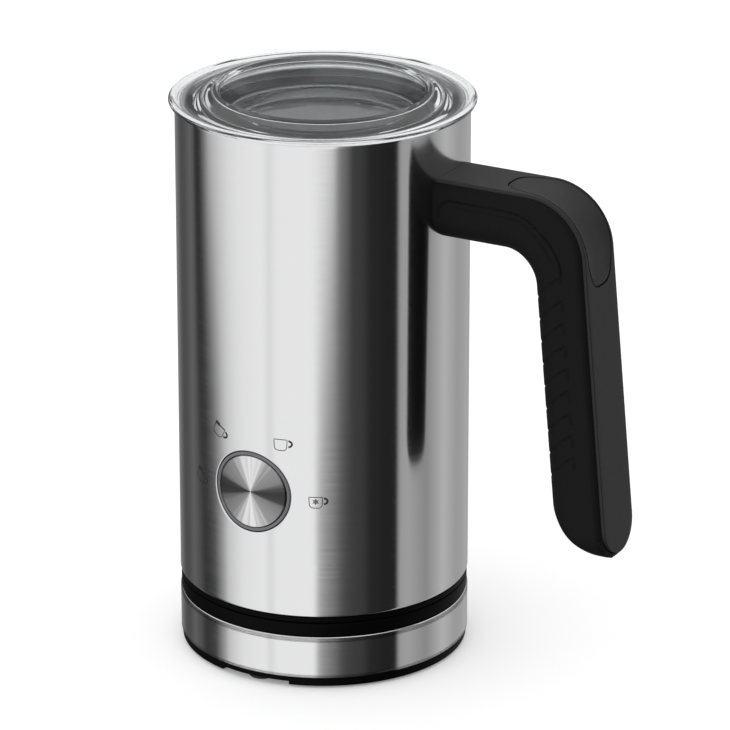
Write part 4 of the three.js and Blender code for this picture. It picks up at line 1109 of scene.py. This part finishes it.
class FROTHER_OT_connectors(bpy.types.Operator):
    """The round connector between base and jug, with its contacts"""
    bl_idname = "frother.connectors"
    bl_label = "Connectors"

    def execute(self, context):
        plug = place("base_connector")
        ring, sleeve = place("base_contact_ring"), place("base_contact_sleeve")
        floor = ring.bottom - 0.3
        radius, flange, top = 11.0, plug.radius, plug.top
        seat = plug.bottom
        corners = [
            (0, seat, 0), (flange, seat, 0), (flange, RIM.top - 4.3, 0), (radius, RIM.top - 4.3, 0),
            (radius, top, 0.9), (ring.radius + 0.65, top, 0.25), (ring.radius + 0.65, floor, 0),
            (ring.radius - 0.8, floor, 0), (ring.radius - 0.8, top, 0.25), (sleeve.radius + 0.3, top, 0.25),
            (sleeve.radius + 0.3, floor, 0), (0, floor, 0)]
        dress(turned_piece("power_plug", corners, 128), "moulded_black_abs", "base", "base_connector")
        self.contact("plug_ring_contact", "base_contact_ring", "base")
        self.contact("plug_sleeve_contact", "base_contact_sleeve", "base")
        self.socket()
        return {"FINISHED"}

    def contact(self, name, node, body):
        tube = place(node)
        inner = tube.radius - 0.5
        corners = [(inner, tube.bottom, 0), (tube.radius, tube.bottom, 0), (tube.radius, tube.top, 0.2),
                   (inner, tube.top, 0.2)]
        dress(turned_piece(name, corners, 96), "plated_copper", body, node)

    def socket(self):
        cup, ring, pin = place("jug_connector"), place("jug_contact_ring"), place("jug_contact_pin")
        inner, outer = 11.3, COLLAR_HOLE - 0.3
        roof = RIM.top + 4.3
        seat = roof + 2.0
        corners = [
            (0, seat, 0), (1.8, seat, 0), (1.8, roof, 0.15), (ring.radius - 0.8, roof, 0.15),
            (ring.radius - 0.8, seat, 0), (ring.radius + 0.3, seat, 0), (ring.radius + 0.3, roof, 0.15),
            (inner, roof, 0.3), (inner, cup.bottom, 0.4), (outer, cup.bottom, 0.3),
            (outer, COLLAR.bottom + 3.3, 0), (cup.radius, COLLAR.bottom + 3.3, 0), (cup.radius, cup.top, 0.4),
            (0, cup.top, 0)]
        dress(turned_piece("power_socket", corners, 128), "moulded_black_abs", "jug_connector",
              "jug_connector")
        self.contact("socket_ring_contact", "jug_contact_ring", "jug_connector")
        corners = [(0, pin.bottom, 0), (pin.radius, pin.bottom, 0.7), (pin.radius, pin.top, 0),
                   (0, pin.top, 0)]
        dress(turned_piece("socket_pin_contact", corners, 64), "plated_copper", "jug_connector",
              "jug_contact_pin")


class FROTHER_OT_jug(bpy.types.Operator):
    """Steel shell, collar and coated pot"""
    bl_idname = "frother.jug"
    bl_label = "Jug"

    def execute(self, context):
        self.shell()
        self.collar()
        self.pot()
        self.spindle()
        return {"FINISHED"}

    def shell(self):
        outer, wall = SHELL.radius, 0.8
        bottom, top, curve = SHELL.bottom, SHELL.top, 1.2
        lip, low = outer - 2.8, bottom + 0.3
        profile = rounded([
            (outer, top - curve, 0), (outer, top, 0.6), (lip, top, 0.2), (lip, top - wall, 0),
            (outer - wall, top - wall, 0), (outer - wall, top - curve, 0)])
        foot = [(outer - wall, low), (outer - wall, bottom), (outer - 0.25, bottom),
                (outer - 0.08, bottom + 0.08), (outer, low)]
        mesh = pierced_wall(
            outer, wall, low, top - curve, FRONT, CAP.middle.z, LIGHT.high.x + GAP, (profile, foot), cells=40)
        dress(new_piece("steel_shell", mesh, sharp=50), "brushed_stainless", "jug", "outer_shell")

    def collar(self):
        radius, bottom = COLLAR.radius, COLLAR.bottom
        top = SHELL.bottom - 0.35
        spigot = SHELL.radius - 1.1
        corners = [
            (COLLAR_HOLE, bottom, 0.3), (radius, bottom, 0.55), (radius, top, 0.25), (spigot, top, 0),
            (spigot, COLLAR.top, 0.3), (spigot - 1.8, COLLAR.top, 0.3), (spigot - 1.8, bottom + 3, 0),
            (COLLAR_HOLE, bottom + 3, 0)]
        body = turned_piece("jug_collar", corners, 256)
        cutters = []
        for i in range(1, 4):
            screw = place(f"jug_base_screw_{i}")
            cutters.append(rod_cutter(3.3, bottom - 1, bottom + 2, screw.middle.xy))
            cutters.append(rod_cutter(1.9, bottom, bottom + 4, screw.middle.xy))
        carve(body, cutters)
        dress(body, "moulded_black_abs", "jug", "jug_base_cover")
        for i in range(1, 4):
            node = f"jug_base_screw_{i}"
            dress(screw_piece(f"collar_screw_{i}", node), "satin_steel", "jug", node)

    def pot(self):
        top, bottom, wall = POT.top, POT.bottom, 1.2
        floor = bottom + wall
        rim = POT.radius
        inside = SEAL.radius + 0.3
        low = inside - 2.0
        corners = [
            (0, bottom, 0), (low + wall, bottom, 9.2), (inside + wall, top - 2, 0.3),
            (inside + wall, top - 1, 0.2), (rim, top - 1, 0.3), (rim, top, 0.3), (inside, top, 0.6),
            (inside, top - 13.5, 2.0), (low, floor, 8.0), (0, floor, 0)]
        body = turned_piece("coated_pot", corners, 256, sharp=50, steps=12)
        dress(body, "non_stick_coating", "jug", "inner_pot")

    def spindle(self):
        pin = place("spindle")
        corners = [(0, pin.bottom, 0), (pin.radius, pin.bottom, 0.2), (1.5, pin.bottom + 0.7, 0.2),
                   (1.5, pin.top, 0.5), (0, pin.top, 0)]
        dress(turned_piece("whisk_spindle", corners, 64), "drawn_wire_steel", "jug", "spindle")


class FROTHER_OT_button(bpy.types.Operator):
    """Steel push button and its light ring, both following the jug's curve"""
    bl_idname = "frother.button"
    bl_label = "Button"

    def disc(self, name, levels, turns=128):
        """levels are (distance from the axis, depth under the jug's curve or None, flat y or None)."""
        mesh = bmesh.new()
        rows = []
        for rho, depth, flat in levels:
            row = []
            for i in range(turns):
                turn = 2 * math.pi * i / turns
                if flat is None:
                    row.append(front_point(SHELL.radius, rho, turn, depth, CAP.middle.z))
                else:
                    row.append((rho * math.cos(turn), flat, CAP.middle.z + rho * math.sin(turn)))
            rows.append(row)
        add_grid(mesh, rows, closed=True)
        return new_piece(name, mesh, sharp=40)

    def execute(self, context):
        radius = CAP.high.x
        back = -SHELL.radius + 3.2
        levels = [(radius * k / 24, 0.0, None) for k in range(24)]
        levels += [(radius - 0.45, 0.0, None), (radius - 0.15, 0.08, None), (radius, 0.35, None),
                   (radius, None, back), (3.0, None, back), (3.0, None, CAP.high.y), (0.0, None, CAP.high.y)]
        dress(self.disc("spun_button", levels), "spun_stainless", "button", "button_cap")
        inner, outer = radius + 0.3, LIGHT.high.x
        back = LIGHT.high.y
        levels = [(inner, None, back), (inner, 0.3, None), (inner + 0.2, 0.12, None),
                  (outer - 0.2, 0.1, None), (outer, 0.3, None), (outer, None, back), (inner, None, back)]
        dress(self.disc("light_guide", levels), "smoked_light_guide", "jug", "light_ring")
        return {"FINISHED"}


class FROTHER_OT_symbols(bpy.types.Operator):
    """Printed cup symbols round the button"""
    bl_idname = "frother.symbols"
    bl_label = "Symbols"

    def execute(self, context):
        for name in SYMBOLS:
            dress(build_symbol(name), "printed_ink", "jug")
        return {"FINISHED"}


class FROTHER_OT_handle(bpy.types.Operator):
    """Soft grip, back cover and thumb rest"""
    bl_idname = "frother.handle"
    bl_label = "Handle"

    def execute(self, context):
        dress(build_grip(), "soft_touch_elastomer", "jug", "handle_grip")
        cover = build_cover()
        above, below, room = -1.0, 2.05, 0.42  # the recess, and the room round the thumb pad
        shares = [k / 12 for k in range(13)]
        levels = [*((share, above) for share in shares), *((share, below) for share in reversed(shares))]
        recess = thumb_shape("cutter", room, levels)
        carve(cover, [recess], 40)
        dress(cover, "grained_charcoal_abs", "jug", "handle_cover")
        dress(build_thumb(), "grained_charcoal_abs", "jug", "thumb_rest")
        return {"FINISHED"}


class FROTHER_OT_whisk(bpy.types.Operator):
    """Whisk: carrier, magnets and wire coil"""
    bl_idname = "frother.whisk"
    bl_label = "Whisk"

    def execute(self, context):
        self.carrier()
        self.coil(context.scene.frother_sizes)
        return {"FINISHED"}

    def carrier(self):
        hub, coil = place("whisk_carrier"), place("whisk_coil")
        ring = coil.radius - (coil.top - coil.bottom) / 2
        tube = (coil.top - coil.bottom) / 2 + GAP
        level = coil.middle.z
        groove = [(ring + tube * math.cos(a), level + tube * math.sin(a), 0)
                  for a in [math.pi * (1 + i / 16) for i in range(-6, 7)]]
        corners = [(0, hub.top, 0), (5, hub.top, 1.2), (groove[0][0] - 1.5, groove[0][1], 0.6), *groove,
                   (ring - 0.6, hub.bottom + 1, 0.2), (ring - 0.6, hub.bottom, 0.3), (3.8, hub.bottom, 0.2),
                   (1.8, hub.bottom + 0.8, 0), (1.8, hub.bottom + 5, 0), (0, hub.bottom + 5, 0)]
        body = turned_piece("whisk_hub", corners, 96)
        magnets = [place(f"whisk_magnet_{i}") for i in (1, 2)]
        carve(body, [rod_cutter(3.3, hub.bottom - 1, hub.bottom + 2.9, m.middle.xy) for m in magnets])
        dress(body, "moulded_black_abs", "whisk", "whisk_carrier")
        for i, magnet in enumerate(magnets):
            corners = [(0, magnet.bottom, 0), (3, magnet.bottom, 0.3), (3, magnet.top, 0.3),
                       (0, magnet.top, 0)]
            piece = turned_piece(f"whisk_disc_magnet_{i + 1}", corners, 48, axis_at=magnet.middle.xy)
            dress(piece, "nickel_plated_magnet", "whisk", f"whisk_magnet_{i + 1}")

    def coil(self, sizes):
        """A spring wound round in a ring."""
        ring = place("whisk_coil")
        tube = (ring.top - ring.bottom) / 2
        wire = sizes.wire / MM / 2
        middle = ring.radius - tube
        turns = round(2 * math.pi * middle / (sizes.coil_pitch / MM))
        steps = turns * 14
        small = tube - wire
        line = []
        for i in range(steps):
            around, about = 2 * math.pi * i / steps, 2 * math.pi * turns * i / steps
            r = middle + small * math.cos(about)
            line.append(Vector((r * math.cos(around), r * math.sin(around),
                                ring.middle.z + small * math.sin(about))))
        rows = []
        for i, p in enumerate(line):
            way = (line[(i + 1) % steps] - line[i - 1]).normalized()
            core = Vector((p.x, p.y, 0)).normalized() * middle + Vector((0, 0, ring.middle.z))
            out = p - core
            out = (out - way * out.dot(way)).normalized()
            side = way.cross(out)
            rows.append([p + (out * math.cos(a) + side * math.sin(a)) * wire
                         for a in [k * math.pi / 4 for k in range(8)]])
        mesh = bmesh.new()
        add_grid(mesh, [*rows, rows[0]], closed=True)
        dress(new_piece("whisk_spring", mesh, sharp=80), "drawn_wire_steel", "whisk", "whisk_coil")


class FROTHER_OT_lid(bpy.types.Operator):
    """Clear lid and its seal"""
    bl_idname = "frother.lid"
    bl_label = "Lid"

    def execute(self, context):
        under, crest = SHELL.top + 0.3, LID.top
        flange, plug = LID.radius, SEAL.radius
        well = 32.0
        rise = 36.0
        well_floor = crest - 8.9
        skirt = LID.bottom
        seat_top, seat_bottom = SEAL.top + 0.3, SEAL.bottom - 0.3
        neck = plug - 1.8
        inner = neck - 1.9
        corners = [
            (0, well_floor, 0), (well, well_floor, 0.8), (rise - 1.2, crest - 1, 0.3), (rise, crest, 0.5),
            (rise + 2, crest - 0.3, 0.6), (46, under + 0.9, 0.6), (48, under + 0.8, 0.5),
            (50, under + 1.9, 0.6), (flange - 0.6, under + 1.6, 0.4), (flange, under + 0.9, 0.3),
            (flange - 0.5, under, 0.2), (plug, under, 0.2), (plug, seat_top, 0), (neck, seat_top, 0),
            (neck, seat_bottom, 0), (plug, seat_bottom, 0), (plug, skirt, 0.3), (inner, skirt, 0.3),
            (inner, under - 1.6, 0.8), (rise + 1.2, crest - 2.2, 0.4), (rise + 0.6, crest - 2.4, 0.3),
            (well + 1.4, well_floor - 1.9, 1.0), (0, well_floor - 1.9, 0)]
        dress(turned_piece("clear_lid", corners, 256, steps=6), "clear_polished_plastic", "lid", "lid_cover")
        low, high = SEAL.bottom, SEAL.top
        lips = [(neck + 0.3, low, 0), (plug - 0.2, low, 0.2), (plug, low + 0.8, 0.2),
                (plug - 0.5, low + 1.6, 0.2), (plug - 0.5, low + 2.4, 0.2), (plug, low + 3.2, 0.2),
                (plug - 0.2, high, 0.2), (neck + 0.3, high, 0)]
        dress(turned_piece("seal_ring", lips, 256), "moulded_silicone", "lid", "lid_seal")
        return {"FINISHED"}


class FROTHER_OT_inner_parts(bpy.types.Operator):
    """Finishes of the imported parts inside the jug, which keep their own shape"""
    bl_idname = "frother.inner_parts"
    bl_label = "Inner parts"

    KEPT = {
        "satin_steel": ["motor_bracket", "motor", "heater_ring", "ntc_sensor", "handle_bracket",
                        "handle_screw_1", "handle_screw_2", "motor_shaft"],
        "natural_nylon": ["rim_ring", "thermostat", "capacitor", "handle_core", "magnet_carrier"],
        "solder_mask_board": ["power_board", "control_board"],
        "moulded_black_abs": ["relay", "tact_switch", "button_housing"],
        "matt_rubber": ["control_ribbon"],
        "nickel_plated_magnet": [f"drive_magnet_{i}" for i in range(1, 5)],
    }

    def execute(self, context):
        for finish_name, nodes in self.KEPT.items():
            for node in nodes:
                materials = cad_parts[node].data.materials
                materials.clear()
                materials.append(finish(finish_name))
        return {"FINISHED"}


STEPS = [FROTHER_OT_stage, FROTHER_OT_base, FROTHER_OT_connectors, FROTHER_OT_jug, FROTHER_OT_button,
         FROTHER_OT_symbols, FROTHER_OT_handle, FROTHER_OT_whisk, FROTHER_OT_lid, FROTHER_OT_inner_parts]


class FROTHER_PT_panel(bpy.types.Panel):
    """Sizes, colours and steps of the frother"""
    bl_label = "Milk frother"
    bl_idname = "FROTHER_PT_panel"
    bl_space_type = "VIEW_3D"
    bl_region_type = "UI"
    bl_category = "Frother"

    def draw(self, context):
        for group in (context.scene.frother_sizes, context.scene.frother_colours):
            for name in group.__annotations__:
                self.layout.prop(group, name)
        for step in STEPS:
            self.layout.operator(step.bl_idname)


CLASSES = [FrotherColours, FrotherSizes, *STEPS, FROTHER_PT_panel]


def register():
    for item in CLASSES:
        bpy.utils.register_class(item)
    bpy.types.Scene.frother_colours = bpy.props.PointerProperty(type=FrotherColours)
    bpy.types.Scene.frother_sizes = bpy.props.PointerProperty(type=FrotherSizes)


def unregister():
    del bpy.types.Scene.frother_colours
    del bpy.types.Scene.frother_sizes
    for item in reversed(CLASSES):
        bpy.utils.unregister_class(item)


def main():
    register()
    for step in STEPS:
        group, name = step.bl_idname.split(".")
        getattr(getattr(bpy.ops, group), name)()


if __name__ == "__main__":
    main()
